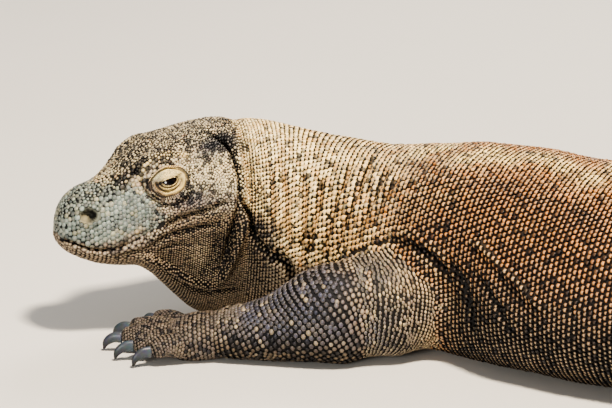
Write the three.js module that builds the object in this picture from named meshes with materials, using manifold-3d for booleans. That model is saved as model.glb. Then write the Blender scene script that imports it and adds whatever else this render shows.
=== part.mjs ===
// Komodo dragon, life size, lying on its belly with its head held low and turned a little to its left.
// Millimetres, +Z up, floor at Z = 0. The snout points to -X and the tail runs out to +X.
//
// The body is one shape: upright sections carried along a path that lies in plan. A section has a
// middle level (the mouth line in the head), a half-width there, and a top and a bottom that are
// quarter superellipses. Each node is a length of that shape, so neighbours meet face to face.
// Leg segments, toes and claws are oval sections carried along their own short paths.

import * as THREE from 'three';
import { mergeVertices } from 'three/addons/utils/BufferGeometryUtils.js';
import Module from 'manifold-3d';

const wasm = await Module();
wasm.setup();

// ---- Driving dimensions ----

const GAP = 0.3; // clearance between neighbouring nodes
const LENGTH = 2500; // snout to tail tip along the body
const SNOUT = { x: -259, y: -97 }; // tip of the snout in plan
const NOSE_ROUND = 34; // length over which the snout tip rounds off
const NOSE_POWER = 2.3; // squareness of that rounding
const JAW_END = 112; // distance from the snout at which the lower jaw gives way to the throat
const NAPE = 196; // distance from the snout to the groove behind the head

// Direction of the body in plan, in degrees from +X, at distances from the snout.
const HEADING = {
  at: [0, 130, 190, 240, 300, 380, 480, 650, 800, 950, 1100, 1300, 1600, 1900, 2200, 2500],
  value: [18, 18, 14, 3, -12, -23, -26, -24, -15, 0, 12, 22, 20, 10, 0, -8],
};

// Body stations: distance from the snout, heights of top, middle and bottom, half-width at the
// middle, and the squareness of the upper and lower halves (2 is an ellipse).
const STATIONS = [
  { at: 0, top: 158, middle: 109, bottom: 90, half: 31, upper: 2.1, lower: 2.3 },
  { at: 22, top: 158, middle: 103, bottom: 84, half: 34, upper: 2.1, lower: 2.3 },
  { at: 42, top: 163, middle: 100, bottom: 77, half: 37, upper: 2.2, lower: 2.4 },
  { at: 62, top: 176, middle: 102, bottom: 73, half: 41, upper: 2.6, lower: 2.4 },
  { at: 83, top: 192, middle: 108, bottom: 70, half: 46, upper: 3.0, lower: 2.4 },
  { at: 98, top: 200, middle: 117, bottom: 60, half: 50, upper: 3.0, lower: 2.2 },
  { at: 114, top: 206, middle: 129, bottom: 44, half: 53, upper: 2.7, lower: 2.0 },
  { at: 130, top: 210, middle: 135, bottom: 27, half: 56, upper: 2.5, lower: 1.9 },
  { at: 145, top: 213, middle: 138, bottom: 13, half: 59, upper: 2.4, lower: 1.8 },
  { at: 162, top: 215, middle: 141, bottom: 5, half: 62, upper: 2.3, lower: 1.8 },
  { at: 180, top: 216, middle: 141, bottom: 4, half: 63, upper: 2.2, lower: 1.8 },
  { at: 197, top: 214, middle: 137, bottom: 4, half: 64, upper: 2.2, lower: 1.8 },
  { at: 222, top: 210, middle: 130, bottom: 5, half: 72, upper: 2.2, lower: 1.9 },
  { at: 260, top: 200, middle: 121, bottom: 6, half: 78, upper: 2.2, lower: 2.0 },
  { at: 310, top: 190, middle: 111, bottom: 4, half: 83, upper: 2.2, lower: 2.2 },
  { at: 350, top: 188, middle: 103, bottom: 0, half: 89, upper: 2.2, lower: 2.3 },
  { at: 400, top: 193, middle: 96, bottom: -6, half: 98, upper: 2.2, lower: 2.4 },
  { at: 450, top: 200, middle: 90, bottom: -14, half: 116, upper: 2.2, lower: 2.4 },
  { at: 520, top: 201, middle: 84, bottom: -14, half: 131, upper: 2.1, lower: 2.4 },
  { at: 620, top: 196, middle: 80, bottom: -14, half: 143, upper: 2.1, lower: 2.4 },
  { at: 760, top: 196, middle: 78, bottom: -12, half: 149, upper: 2.1, lower: 2.3 },
  { at: 880, top: 195, middle: 79, bottom: -10, half: 144, upper: 2.1, lower: 2.3 },
  { at: 980, top: 187, middle: 80, bottom: -6, half: 126, upper: 2.1, lower: 2.2 },
  { at: 1070, top: 172, middle: 76, bottom: -4, half: 102, upper: 2.0, lower: 2.1 },
  { at: 1150, top: 153, middle: 69, bottom: -3, half: 81, upper: 1.9, lower: 2.1 },
  { at: 1250, top: 131, middle: 59, bottom: -3, half: 63, upper: 1.8, lower: 2.1 },
  { at: 1400, top: 110, middle: 48, bottom: -3, half: 51, upper: 1.7, lower: 2.1 },
  { at: 1650, top: 87, middle: 37, bottom: -3, half: 39, upper: 1.7, lower: 2.1 },
  { at: 1950, top: 63, middle: 27, bottom: -2, half: 28, upper: 1.7, lower: 2.1 },
  { at: 2250, top: 38, middle: 16, bottom: -1.5, half: 17, upper: 1.8, lower: 2.1 },
  { at: 2450, top: 19, middle: 8, bottom: -1, half: 8, upper: 2.0, lower: 2.0 },
  { at: 2500, top: 8, middle: 4, bottom: 0, half: 3, upper: 2.0, lower: 2.0 },
];

// Swellings and hollows on both sides of the body: distance from the snout, level around the
// section in degrees (0 is the side, 90 the top), height, and reach along and around.
const FORMS = [
  { name: 'brow ridge', at: 85, level: 56, height: 8.5, along: 22, around: 11 },
  { name: 'eye hollow', at: 111, level: 30, height: -3, along: 13, around: 13 },
  { name: 'hollow before the eye', at: 78, level: 36, height: -2.5, along: 13, around: 14 },
  { name: 'nostril swelling', at: 25, level: 38, height: 2.5, along: 12, around: 18 },
  { name: 'jaw muscle', at: 172, level: 8, height: 5, along: 22, around: 30 },
  { name: 'groove behind the head', at: NAPE, level: 20, height: -9, along: 8, around: 52 },
  { name: 'neck roll', at: 228, level: 0, height: 5, along: 16, around: 45 },
  { name: 'armpit hollow', at: 476, level: -4, height: -19, along: 38, around: 24 },
];

// Eyes: distance from the snout, distance out from the middle, height and radius.
const EYE = { at: 111, side: 38.5, height: 165.5, radius: 12 };

const BODY_SIDES = 28;

// Lengths of the body that are nodes, by their ends along it, with rings each way.
const LENGTHS = [
  { name: 'neck', from: NAPE, to: 400, rings: 11, sides: BODY_SIDES, slot: 'hide_neck' },
  { name: 'trunk_chest', from: 400, to: 600, rings: 8, sides: BODY_SIDES, slot: 'hide_back' },
  { name: 'trunk_belly', from: 600, to: 850, rings: 7, sides: BODY_SIDES, slot: 'hide_back' },
  { name: 'trunk_hips', from: 850, to: 1150, rings: 8, sides: BODY_SIDES, slot: 'hide_back' },
  { name: 'tail_root', from: 1150, to: 1400, rings: 6, sides: 20, slot: 'hide_tail' },
  { name: 'tail_second', from: 1400, to: 1680, rings: 6, sides: 16, slot: 'hide_tail' },
  { name: 'tail_third', from: 1680, to: 1960, rings: 5, sides: 14, slot: 'hide_tail' },
  { name: 'tail_fourth', from: 1960, to: 2240, rings: 5, sides: 12, slot: 'hide_tail' },
  { name: 'tail_tip', from: 2240, to: LENGTH, rings: 7, sides: 10, slot: 'hide_tail' },
];

// Legs. Each segment is a path of joints with the half-width and half-height of its section there,
// and the length over which each of its ends rounds off. Toes go from the outer one to the thumb
// on the left, with their angles from the foot's own direction; claws go on from them.
const LEGS = [
  {
    name: 'fore_left',
    upper: {
      points: [[154, -60, 82], [124, -120, 63], [84, -150, 54], [30, -163, 49]],
      wide: [44, 53, 54, 48], high: [46, 52, 54, 50], round: [0, 36],
    },
    lower: {
      points: [[86, -158, 51], [30, -164, 48], [-36, -162, 30], [-100, -158, 22]],
      wide: [48, 50, 39, 30], high: [50, 52, 32, 22], round: [40, 14],
    },
    palm: {
      points: [[-86, -158, 22], [-112, -158, 20], [-142, -156, 15]],
      wide: [30, 34, 34], high: [23, 23, 17], round: [0, 16],
    },
    fan: [22, 10, -3, -19, -42],
    toes: [17, 34, 47, 44, 30],
    claw: 19,
    side: 1,
  },
  {
    name: 'fore_right',
    upper: {
      points: [[162, -30, 80], [158, 30, 62], [134, 72, 53], [104, 108, 48]],
      wide: [44, 50, 49, 44], high: [46, 50, 50, 46], round: [0, 36],
    },
    lower: {
      points: [[142, 84, 49], [84, 117, 43], [32, 126, 31], [-12, 128, 24]],
      wide: [46, 46, 38, 30], high: [48, 46, 34, 25], round: [36, 14],
    },
    palm: {
      points: [[0, 128, 23], [-26, 130, 21], [-54, 133, 15]],
      wide: [30, 34, 34], high: [24, 23, 17], round: [0, 16],
    },
    fan: [34, 14, -2, -18, -42],
    toes: [28, 38, 44, 40, 30],
    claw: 19,
    side: -1,
  },
  {
    name: 'hind_left',
    upper: {
      points: [[738, -262, 84], [744, -310, 80], [716, -358, 74], [672, -392, 62]],
      wide: [50, 54, 50, 38], high: [52, 56, 54, 42], round: [0, 34],
    },
    lower: {
      points: [[672, -386, 56], [708, -408, 46], [752, -416, 35], [796, -422, 27]],
      wide: [36, 37, 31, 26], high: [38, 38, 32, 27], round: [26, 18],
    },
    palm: {
      points: [[800, -424, 25], [762, -440, 20], [712, -456, 15]],
      wide: [26, 30, 36], high: [26, 22, 17], round: [0, 16],
    },
    fan: [36, 14, -2, -18, -40],
    toes: [44, 72, 66, 54, 40],
    claw: 20,
    side: 1,
  },
  {
    name: 'hind_right',
    upper: {
      points: [[730, -186, 84], [722, -138, 80], [688, -96, 74], [640, -70, 62]],
      wide: [50, 54, 50, 38], high: [52, 56, 54, 42], round: [0, 34],
    },
    lower: {
      points: [[640, -76, 56], [674, -50, 46], [716, -36, 35], [760, -26, 27]],
      wide: [36, 37, 31, 26], high: [38, 38, 32, 27], round: [26, 18],
    },
    palm: {
      points: [[764, -24, 25], [724, -12, 20], [672, 0, 15]],
      wide: [26, 30, 36], high: [26, 22, 17], round: [0, 16],
    },
    fan: [36, 14, -2, -18, -40],
    toes: [44, 72, 66, 54, 40],
    claw: 20,
    side: -1,
  },
];

// Toes arch up from the foot and end above the floor; their claws curve down to it.
const TOE = {
  wide: [12, 11, 8.5], high: [13, 11.5, 9], height: [16, 20, 16],
  inset: 22, // how far back under the foot's front edge a toe starts
  spread: 11.7, // from one toe's start to the next, across the foot
  knuckle: 0.55, // where along a toe its arch is highest
};
const CLAW = { wide: [4.2, 3.6, 2.6, 0.8], high: [6, 5.4, 3.8, 0.9], height: [15.5, 15, 9.5, 2.2] };
const CLAW_STEPS = [0, 0.45, 0.85, 1];
const LEG_SIDES = 12;
const LEG_RINGS = 7;
const LEG_UNDERSIDE = 2.5; // squareness of a leg's lower half, which its weight flattens
const PALM_RINGS = 5;
const TOE_RINGS = 3;
const TOE_SIDES = 6;
const CLAW_RINGS = 4;
const CLAW_SIDES = 5;

const FINISHES = {
  hide_head: { color: '#a9a58f', roughness: 0.75 },
  hide_jaw: { color: '#5f5446', roughness: 0.75 },
  hide_neck: { color: '#b58a62', roughness: 0.8 },
  hide_back: { color: '#b07a52', roughness: 0.8 },
  hide_tail: { color: '#8a6a4c', roughness: 0.8 },
  hide_leg: { color: '#5c5f60', roughness: 0.8 },
  eye: { color: '#2a1a10', roughness: 0.1 },
  claw: { color: '#566069', roughness: 0.5 },
};

const dragon = new THREE.Group();

// ---- Curves ----

// A smooth curve through given values, at uneven steps: cubic pieces whose slope at each value is
// the weighted mean of the slopes beside it.
function smooth(at, value, x) {
  const last = at.length - 1;
  const rise = (i) => (value[i + 1] - value[i]) / (at[i + 1] - at[i]);
  const slope = (i) => {
    if (i === 0) return rise(0);
    if (i === last) return rise(last - 1);
    const before = at[i] - at[i - 1];
    const after = at[i + 1] - at[i];
    return (rise(i - 1) * after + rise(i) * before) / (before + after);
  };
  let i = 0;
  while (i < last - 1 && x >= at[i + 1]) i += 1;
  const step = at[i + 1] - at[i];
  const t = (x - at[i]) / step;
  const t2 = t * t;
  const t3 = t2 * t;
  return value[i] * (2 * t3 - 3 * t2 + 1) + slope(i) * step * (t3 - 2 * t2 + t)
    + value[i + 1] * (3 * t2 - 2 * t3) + slope(i + 1) * step * (t3 - t2);
}

const stationsAt = STATIONS.map((row) => row.at);

function station(key, s) {
  return smooth(stationsAt, STATIONS.map((row) => row[key]), s);
}

// The body's path in plan, summed up in steps of PACE.
const PACE = 5;
const track = [{ x: SNOUT.x, y: SNOUT.y }];
for (let s = 0; s < LENGTH; s += PACE) {
  const turn = THREE.MathUtils.degToRad(smooth(HEADING.at, HEADING.value, s + PACE / 2));
  const here = track[track.length - 1];
  track.push({ x: here.x + PACE * Math.cos(turn), y: here.y + PACE * Math.sin(turn) });
}

function axisPoint(s) {
  const i = Math.min(Math.floor(s / PACE), track.length - 2);
  const t = s / PACE - i;
  return {
    x: track[i].x + t * (track[i + 1].x - track[i].x),
    y: track[i].y + t * (track[i + 1].y - track[i].y),
  };
}

// ---- Sections ----

function power(value, squareness) {
  return Math.sign(value) * Math.abs(value) ** (2 / squareness);
}

function swelling(s, degrees) {
  const turned = degrees > 270 ? degrees - 360 : degrees;
  const level = turned > 90 ? 180 - turned : turned;
  let sum = 0;
  for (const form of FORMS) {
    const along = (s - form.at) / form.along;
    const around = (level - form.level) / form.around;
    sum += form.height * Math.exp(-along * along - around * around);
  }
  return sum;
}

// A point of the body's surface. Degrees go round from the left side over the top.
function bodyPoint(s, degrees, grow, drop, floor) {
  const nose = s >= NOSE_ROUND ? 1 : (1 - (1 - s / NOSE_ROUND) ** NOSE_POWER) ** (1 / NOSE_POWER);
  const angle = THREE.MathUtils.degToRad(degrees);
  const above = Math.sin(angle) >= 0;
  const middle = station('middle', s);
  const reach = above ? station('top', s) - middle : middle - station('bottom', s);
  const squareness = above ? station('upper', s) : station('lower', s);
  let out = station('half', s) * nose * power(Math.cos(angle), squareness);
  let up = reach * nose * power(Math.sin(angle), squareness);
  const far = Math.hypot(out, up);
  if (far > 0) {
    const scale = 1 + (swelling(s, degrees) * nose + grow) / far;
    out *= scale;
    up *= scale;
  }
  const turn = THREE.MathUtils.degToRad(smooth(HEADING.at, HEADING.value, s));
  const axis = axisPoint(s);
  return new THREE.Vector3(
    axis.x + out * Math.sin(turn),
    axis.y - out * Math.cos(turn),
    Math.max(middle - drop + up, floor),
  );
}

function bodyRings(places, first, last, count, { grow = 0, drop = 0, floor = 0 } = {}) {
  return places.map((s) => {
    const ring = [];
    for (let i = 0; i < count; i += 1) {
      ring.push(bodyPoint(s, first + ((last - first) * i) / (count - 1), grow, drop, floor));
    }
    return ring;
  });
}

const END_SHIFT = 0.35; // keeps the first and last rings off the very ends, where they would be points

// Oval sections carried along a path of points; sizes shrink to round off either end.
function limbRings(segment, rings, sides, grow = 0, floor = 0) {
  const { points, wide, high, round = [0, 0] } = segment;
  const along = [0];
  for (let i = 1; i < points.length; i += 1) {
    along.push(along[i - 1] + Math.hypot(...points[i].map((v, k) => v - points[i - 1][k])));
  }
  const length = along[along.length - 1];
  const place = (x) => new THREE.Vector3(...[0, 1, 2].map((k) => smooth(along, points.map((p) => p[k]), x)));
  const shrink = (distance, reach) => {
    if (reach === 0 || distance >= reach) return 1;
    return Math.sqrt(Math.max(1 - (1 - distance / reach) ** 2, 0));
  };
  const result = [];
  for (let i = 0; i < rings; i += 1) {
    // rings crowd towards the ends, where a rounded end needs them
    const x = (length * (1 - Math.cos((Math.PI * (i + END_SHIFT)) / (rings - 1 + 2 * END_SHIFT)))) / 2;
    const centre = place(x);
    const ahead = place(Math.min(x + 1, length)).sub(place(Math.max(x - 1, 0))).normalize();
    const side = new THREE.Vector3(0, 0, 1).cross(ahead).normalize();
    const up = ahead.clone().cross(side);
    if (i === 0) centre.addScaledVector(ahead, -grow);
    if (i === rings - 1) centre.addScaledVector(ahead, grow);
    const size = shrink(x, round[0]) * shrink(length - x, round[1]);
    const w = smooth(along, wide, x) * size + grow;
    const h = smooth(along, high, x) * size + grow;
    const ring = [];
    for (let k = 0; k < sides; k += 1) {
      const angle = (2 * Math.PI * k) / sides;
      const squareness = Math.sin(angle) < 0 ? LEG_UNDERSIDE : 2;
      const point = centre.clone().addScaledVector(side, w * power(Math.cos(angle), squareness));
      point.addScaledVector(up, h * power(Math.sin(angle), squareness));
      point.z = Math.max(point.z, floor);
      ring.push(point);
    }
    result.push(ring);
  }
  return result;
}

// ---- Solids ----

// A closed body through rings of points, capped at both ends; its faces are turned to point out.
function skinOf(rings) {
  const sides = rings[0].length;
  const corners = rings.flat();
  const triangles = [];
  for (let i = 0; i + 1 < rings.length; i += 1) {
    for (let k = 0; k < sides; k += 1) {
      const a = i * sides + k;
      const b = i * sides + ((k + 1) % sides);
      triangles.push([a, b, b + sides], [a, b + sides, a + sides]);
    }
  }
  const cap = (ring, flip) => {
    const centre = new THREE.Vector3();
    for (const point of rings[ring]) centre.addScaledVector(point, 1 / sides);
    corners.push(centre);
    for (let k = 0; k < sides; k += 1) {
      const a = ring * sides + k;
      const b = ring * sides + ((k + 1) % sides);
      triangles.push(flip ? [corners.length - 1, a, b] : [corners.length - 1, b, a]);
    }
  };
  cap(0, false);
  cap(rings.length - 1, true);
  let volume = 0;
  for (const [a, b, c] of triangles) volume += corners[a].dot(corners[b].clone().cross(corners[c]));
  const index = triangles.flatMap(([a, b, c]) => (volume > 0 ? [a, b, c] : [a, c, b]));
  const geometry = new THREE.BufferGeometry();
  geometry.setAttribute('position', new THREE.Float32BufferAttribute(corners.flatMap((p) => p.toArray()), 3));
  geometry.setIndex(index);
  return geometry;
}

function toManifold(geometry) {
  const merged = mergeVertices(geometry, 1e-4);
  return new wasm.Manifold(new wasm.Mesh({
    numProp: 3,
    vertProperties: new Float32Array(merged.attributes.position.array),
    triVerts: new Uint32Array(merged.index.array),
  }));
}

// The largest body of a cut solid: slivers that a cut leaves beside it are dropped.
function fromManifold(solid) {
  const parts = solid.decompose();
  const largest = parts.reduce((best, part) => (part.volume() > best.volume() ? part : best));
  const mesh = largest.getMesh();
  const geometry = new THREE.BufferGeometry();
  geometry.setAttribute('position', new THREE.Float32BufferAttribute(mesh.vertProperties, 3));
  geometry.setIndex(new THREE.Uint32BufferAttribute(mesh.triVerts, 1));
  return geometry;
}

function add(name, slot, geometry) {
  const finish = new THREE.MeshStandardMaterial({ metalness: 0, ...FINISHES[slot] });
  const mesh = new THREE.Mesh(geometry, finish);
  mesh.name = name;
  dragon.add(mesh);
}

function evenly(from, to, count) {
  return Array.from({ length: count }, (_, i) => from + ((to - from) * i) / (count - 1));
}

// ---- Head ----

const TIP = 0.4; // the first section, just behind the very tip of the snout
const noseRings = [TIP, 3, 9, 19];
const headPlaces = [...noseRings, ...evenly(32, JAW_END, 9), JAW_END + GAP, ...evenly(122, NAPE - GAP, 8)];

function eyeball(sign, radius) {
  const axis = axisPoint(EYE.at);
  const turn = THREE.MathUtils.degToRad(smooth(HEADING.at, HEADING.value, EYE.at));
  const ball = new THREE.IcosahedronGeometry(radius, 2);
  ball.deleteAttribute('normal');
  ball.deleteAttribute('uv');
  ball.translate(
    axis.x + sign * EYE.side * Math.sin(turn),
    axis.y - sign * EYE.side * Math.cos(turn),
    EYE.height,
  );
  return mergeVertices(ball, 1e-4);
}

const HALF_RING = 14;
const skull = toManifold(skinOf(bodyRings(headPlaces, 0, 180, HALF_RING)));
const socketed = skull.subtract(toManifold(eyeball(1, EYE.radius + GAP)))
  .subtract(toManifold(eyeball(-1, EYE.radius + GAP)));
add('head', 'hide_head', fromManifold(socketed));
add('eye_left', 'eye', eyeball(1, EYE.radius));
add('eye_right', 'eye', eyeball(-1, EYE.radius));

const jawPlaces = headPlaces.filter((s) => s <= JAW_END);
const throatPlaces = headPlaces.filter((s) => s > JAW_END);
add('lower_jaw', 'hide_jaw', skinOf(bodyRings(jawPlaces, 360, 180, HALF_RING, { drop: GAP })));
add('throat', 'hide_jaw', skinOf(bodyRings(throatPlaces, 360, 180, HALF_RING, { drop: GAP })));

// ---- Neck, trunk and tail ----

const wholeTurn = (sides) => 360 - 360 / sides; // last of a ring's evenly spread angles

for (const part of LENGTHS) {
  const to = part.to === LENGTH ? LENGTH : part.to - GAP;
  const places = evenly(part.from, to, part.rings);
  add(part.name, part.slot, skinOf(bodyRings(places, 0, wholeTurn(part.sides), part.sides)));
}

// ---- Legs ----

const BELOW = -20; // cutters reach this far under the floor
const TRUNK_LENGTHS = 5; // neck to tail root: the lengths that legs could reach
const cutterPlaces = LENGTHS.slice(0, TRUNK_LENGTHS)
  .flatMap((part) => evenly(part.from, part.to - GAP, part.rings));
const CUTTER_GROW = 0.6; // a little over the gap, as the cutter is faceted
const bodyCutter = toManifold(skinOf(bodyRings(
  cutterPlaces, 0, wholeTurn(BODY_SIDES), BODY_SIDES, { grow: CUTTER_GROW, floor: BELOW },
)));

// The direction and start of each toe, fanned out from the foot's own direction.
function toePaths(leg) {
  const points = leg.palm.points;
  const from = points[0];
  const to = points[points.length - 1];
  const ahead = new THREE.Vector2(to[0] - from[0], to[1] - from[1]).normalize();
  const across = new THREE.Vector2(ahead.y, -ahead.x).multiplyScalar(-leg.side);
  return leg.fan.map((degrees, i) => {
    const fan = THREE.MathUtils.degToRad(degrees);
    const way = ahead.clone().multiplyScalar(Math.cos(fan)).addScaledVector(across, Math.sin(fan));
    const start = new THREE.Vector2(to[0], to[1]).addScaledVector(ahead, -TOE.inset);
    start.addScaledVector(across, TOE.spread * (2 - i));
    const reach = leg.toes[i] + TOE.inset;
    const spot = (distance, height) => [start.x + way.x * distance, start.y + way.y * distance, height];
    return {
      toe: {
        points: [0, reach * TOE.knuckle, reach].map((distance, k) => spot(distance, TOE.height[k])),
        wide: TOE.wide,
        high: TOE.high,
      },
      claw: {
        points: CLAW_STEPS.map((step, k) => spot(reach + GAP + leg.claw * step, CLAW.height[k])),
        wide: CLAW.wide,
        high: CLAW.high,
      },
    };
  });
}

for (const leg of LEGS) {
  const upper = toManifold(skinOf(limbRings(leg.upper, LEG_RINGS, LEG_SIDES)));
  add(`${leg.name}_upper`, 'hide_leg', fromManifold(upper.subtract(bodyCutter)));

  const upperCutter = toManifold(skinOf(limbRings(leg.upper, LEG_RINGS, LEG_SIDES, GAP, BELOW)));
  const lower = toManifold(skinOf(limbRings(leg.lower, LEG_RINGS, LEG_SIDES)));
  add(`${leg.name}_lower`, 'hide_leg', fromManifold(lower.subtract(upperCutter).subtract(bodyCutter)));

  const lowerCutter = toManifold(skinOf(limbRings(leg.lower, LEG_RINGS, LEG_SIDES, GAP, BELOW)));
  let foot = toManifold(skinOf(limbRings(leg.palm, PALM_RINGS, LEG_SIDES)));
  toePaths(leg).forEach(({ toe, claw }, i) => {
    foot = foot.add(toManifold(skinOf(limbRings(toe, TOE_RINGS, TOE_SIDES))));
    add(`${leg.name}_claw_${i + 1}`, 'claw', skinOf(limbRings(claw, CLAW_RINGS, CLAW_SIDES)));
  });
  add(`${leg.name}_foot`, 'hide_leg', fromManifold(foot.subtract(lowerCutter).subtract(bodyCutter)));
}

// ---- Origin: centre of the footprint, on the floor ----

const box = new THREE.Box3().setFromObject(dragon);
const centre = box.getCenter(new THREE.Vector3());
for (const mesh of dragon.children) mesh.position.set(-centre.x, -centre.y, -box.min.z);

export default dragon;
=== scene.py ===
"""A still, life-size Komodo dragon lying on its belly with its left arm stretched forward.

One closed skin stands for every node of flesh. Over it lie the scales, each a small closed bead of horn
set on the skin's own surface. Eyes and claws are pieces of their own. Lengths in this script are
millimetres in the animal's own frame (x from snout to tail, z up, the floor at z = 0) and become metres
in the part's frame only when a mesh is made.
"""

import math

import bpy
import numpy as np
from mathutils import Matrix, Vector
from mathutils.bvhtree import BVHTree
from mathutils.kdtree import KDTree


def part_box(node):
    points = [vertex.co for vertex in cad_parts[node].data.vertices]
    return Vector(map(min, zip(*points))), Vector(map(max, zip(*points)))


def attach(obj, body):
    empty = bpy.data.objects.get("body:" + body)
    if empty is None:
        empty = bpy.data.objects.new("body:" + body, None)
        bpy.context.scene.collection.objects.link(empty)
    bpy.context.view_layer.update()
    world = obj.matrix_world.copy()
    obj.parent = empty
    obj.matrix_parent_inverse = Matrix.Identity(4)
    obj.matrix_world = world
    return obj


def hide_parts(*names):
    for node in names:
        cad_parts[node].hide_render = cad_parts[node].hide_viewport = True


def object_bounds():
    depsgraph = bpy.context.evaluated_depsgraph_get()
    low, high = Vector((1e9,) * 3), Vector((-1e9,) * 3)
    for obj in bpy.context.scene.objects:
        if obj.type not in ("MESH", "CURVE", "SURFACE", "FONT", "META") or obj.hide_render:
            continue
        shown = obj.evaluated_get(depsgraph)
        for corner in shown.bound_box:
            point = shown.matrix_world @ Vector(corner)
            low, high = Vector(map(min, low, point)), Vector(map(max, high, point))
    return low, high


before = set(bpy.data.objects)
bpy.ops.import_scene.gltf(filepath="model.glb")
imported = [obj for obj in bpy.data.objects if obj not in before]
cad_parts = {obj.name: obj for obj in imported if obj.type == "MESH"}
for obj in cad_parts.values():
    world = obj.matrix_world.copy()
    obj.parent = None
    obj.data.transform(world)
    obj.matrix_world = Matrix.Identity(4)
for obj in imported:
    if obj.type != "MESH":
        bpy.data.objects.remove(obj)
cad_low, cad_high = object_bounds()
dice = np.random.default_rng(11)
FAR_OFF = 1e3  # stands for the distance of a place that nothing is near

# ---- The form that the solids have: the body's way over the floor, its cross sections and its limbs ----

LENGTH = 2500  # snout to tail tip along the body
SNOUT = (-259, -97)
NOSE_ROUND = 34
NOSE_POWER = 2.3
PACE = 5

# Way of the body over the floor, in degrees from the x axis, by distance from the snout.
HEADING_AT = [0, 130, 190, 240, 300, 380, 480, 650, 800, 950, 1100, 1300, 1600, 1900, 2200, 2500]
HEADING = [18, 18, 14, 3, -12, -23, -26, -24, -15, 0, 12, 22, 20, 10, 0, -8]

# Cross sections: distance from the snout, heights of the back, of the widest place and of the belly,
# half the width, and how square the section is above and below the widest place.
SECTIONS = np.array([
    (0, 158, 109, 90, 31, 2.1, 2.3),
    (22, 158, 103, 84, 34, 2.1, 2.3),
    (42, 163, 100, 77, 37, 2.2, 2.4),
    (62, 176, 102, 73, 41, 2.6, 2.4),
    (83, 192, 108, 70, 46, 3.0, 2.4),
    (98, 200, 117, 60, 50, 3.0, 2.2),
    (114, 206, 129, 44, 53, 2.7, 2.0),
    (130, 210, 135, 27, 56, 2.5, 1.9),
    (145, 213, 138, 13, 59, 2.4, 1.8),
    (162, 215, 141, 5, 62, 2.3, 1.8),
    (180, 216, 141, 4, 63, 2.2, 1.8),
    (197, 214, 137, 4, 64, 2.2, 1.8),
    (222, 210, 130, 5, 72, 2.2, 1.9),
    (260, 200, 121, 6, 78, 2.2, 2.0),
    (310, 190, 111, 4, 83, 2.2, 2.2),
    (350, 188, 103, 0, 89, 2.2, 2.3),
    (400, 193, 96, -6, 98, 2.2, 2.4),
    (450, 200, 90, -14, 116, 2.2, 2.4),
    (520, 201, 84, -14, 131, 2.1, 2.4),
    (620, 196, 80, -14, 143, 2.1, 2.4),
    (760, 196, 78, -12, 149, 2.1, 2.3),
    (880, 195, 79, -10, 144, 2.1, 2.3),
    (980, 187, 80, -6, 126, 2.1, 2.2),
    (1070, 172, 76, -4, 102, 2.0, 2.1),
    (1150, 153, 69, -3, 81, 1.9, 2.1),
    (1250, 131, 59, -3, 63, 1.8, 2.1),
    (1400, 110, 48, -3, 51, 1.7, 2.1),
    (1650, 87, 37, -3, 39, 1.7, 2.1),
    (1950, 63, 27, -2, 28, 1.7, 2.1),
    (2250, 38, 16, -1.5, 17, 1.8, 2.1),
    (2450, 19, 8, -1, 8, 2.0, 2.0),
    (2500, 8, 4, 0, 3, 2.0, 2.0),
])

# Swellings and hollows: distance from the snout, level (0 the side, 90 the top), height, reach along
# and reach around in degrees.
FORMS = [
    (85, 56, 8.5, 22, 11),  # brow ridge
    (111, 30, -3, 13, 13),  # eye hollow
    (78, 36, -2.5, 13, 14),  # hollow before the eye
    (25, 38, 2.5, 12, 18),  # nostril swelling
    (172, 8, 5, 22, 30),  # jaw muscle
    (196, 20, -9, 8, 52),  # groove behind the head
    (228, 0, 5, 16, 45),  # neck roll
    (476, -4, -19, 38, 24),  # armpit hollow
]

EYE = {"at": 111, "side": 38.5, "height": 165.5, "radius": 12.0}
EYE_LIFT = math.radians(12)  # the gaze rises this much
NEAR_EYE = 26  # places of the head this near to an eye may belong to its lids
BEHIND_EYE = -14  # and none lies deeper than this along the gaze


def length_of_limb(points, wide, high, ends=(0, 0)):
    """One length of a limb: the line of points along its middle, its half widths and half heights at
    them, and how far from each end it starts to round off."""
    return {"points": points, "wide": wide, "high": high, "round": ends}


def hind_leg(side, thigh, shin, foot):
    """A hind leg along three lines of points; both legs have the same girths, toes and claws."""
    return {
        "side": side,
        "upper": length_of_limb(thigh, [50, 54, 50, 38], [52, 56, 54, 42], (0, 34)),
        "lower": length_of_limb(shin, [36, 37, 31, 26], [38, 38, 32, 27], (26, 18)),
        "palm": length_of_limb(foot, [26, 30, 36], [26, 22, 17], (22, 16)),
        "fan": [36, 14, -2, -18, -40], "toes": [44, 72, 66, 54, 40], "claw": 20,
    }


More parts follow.
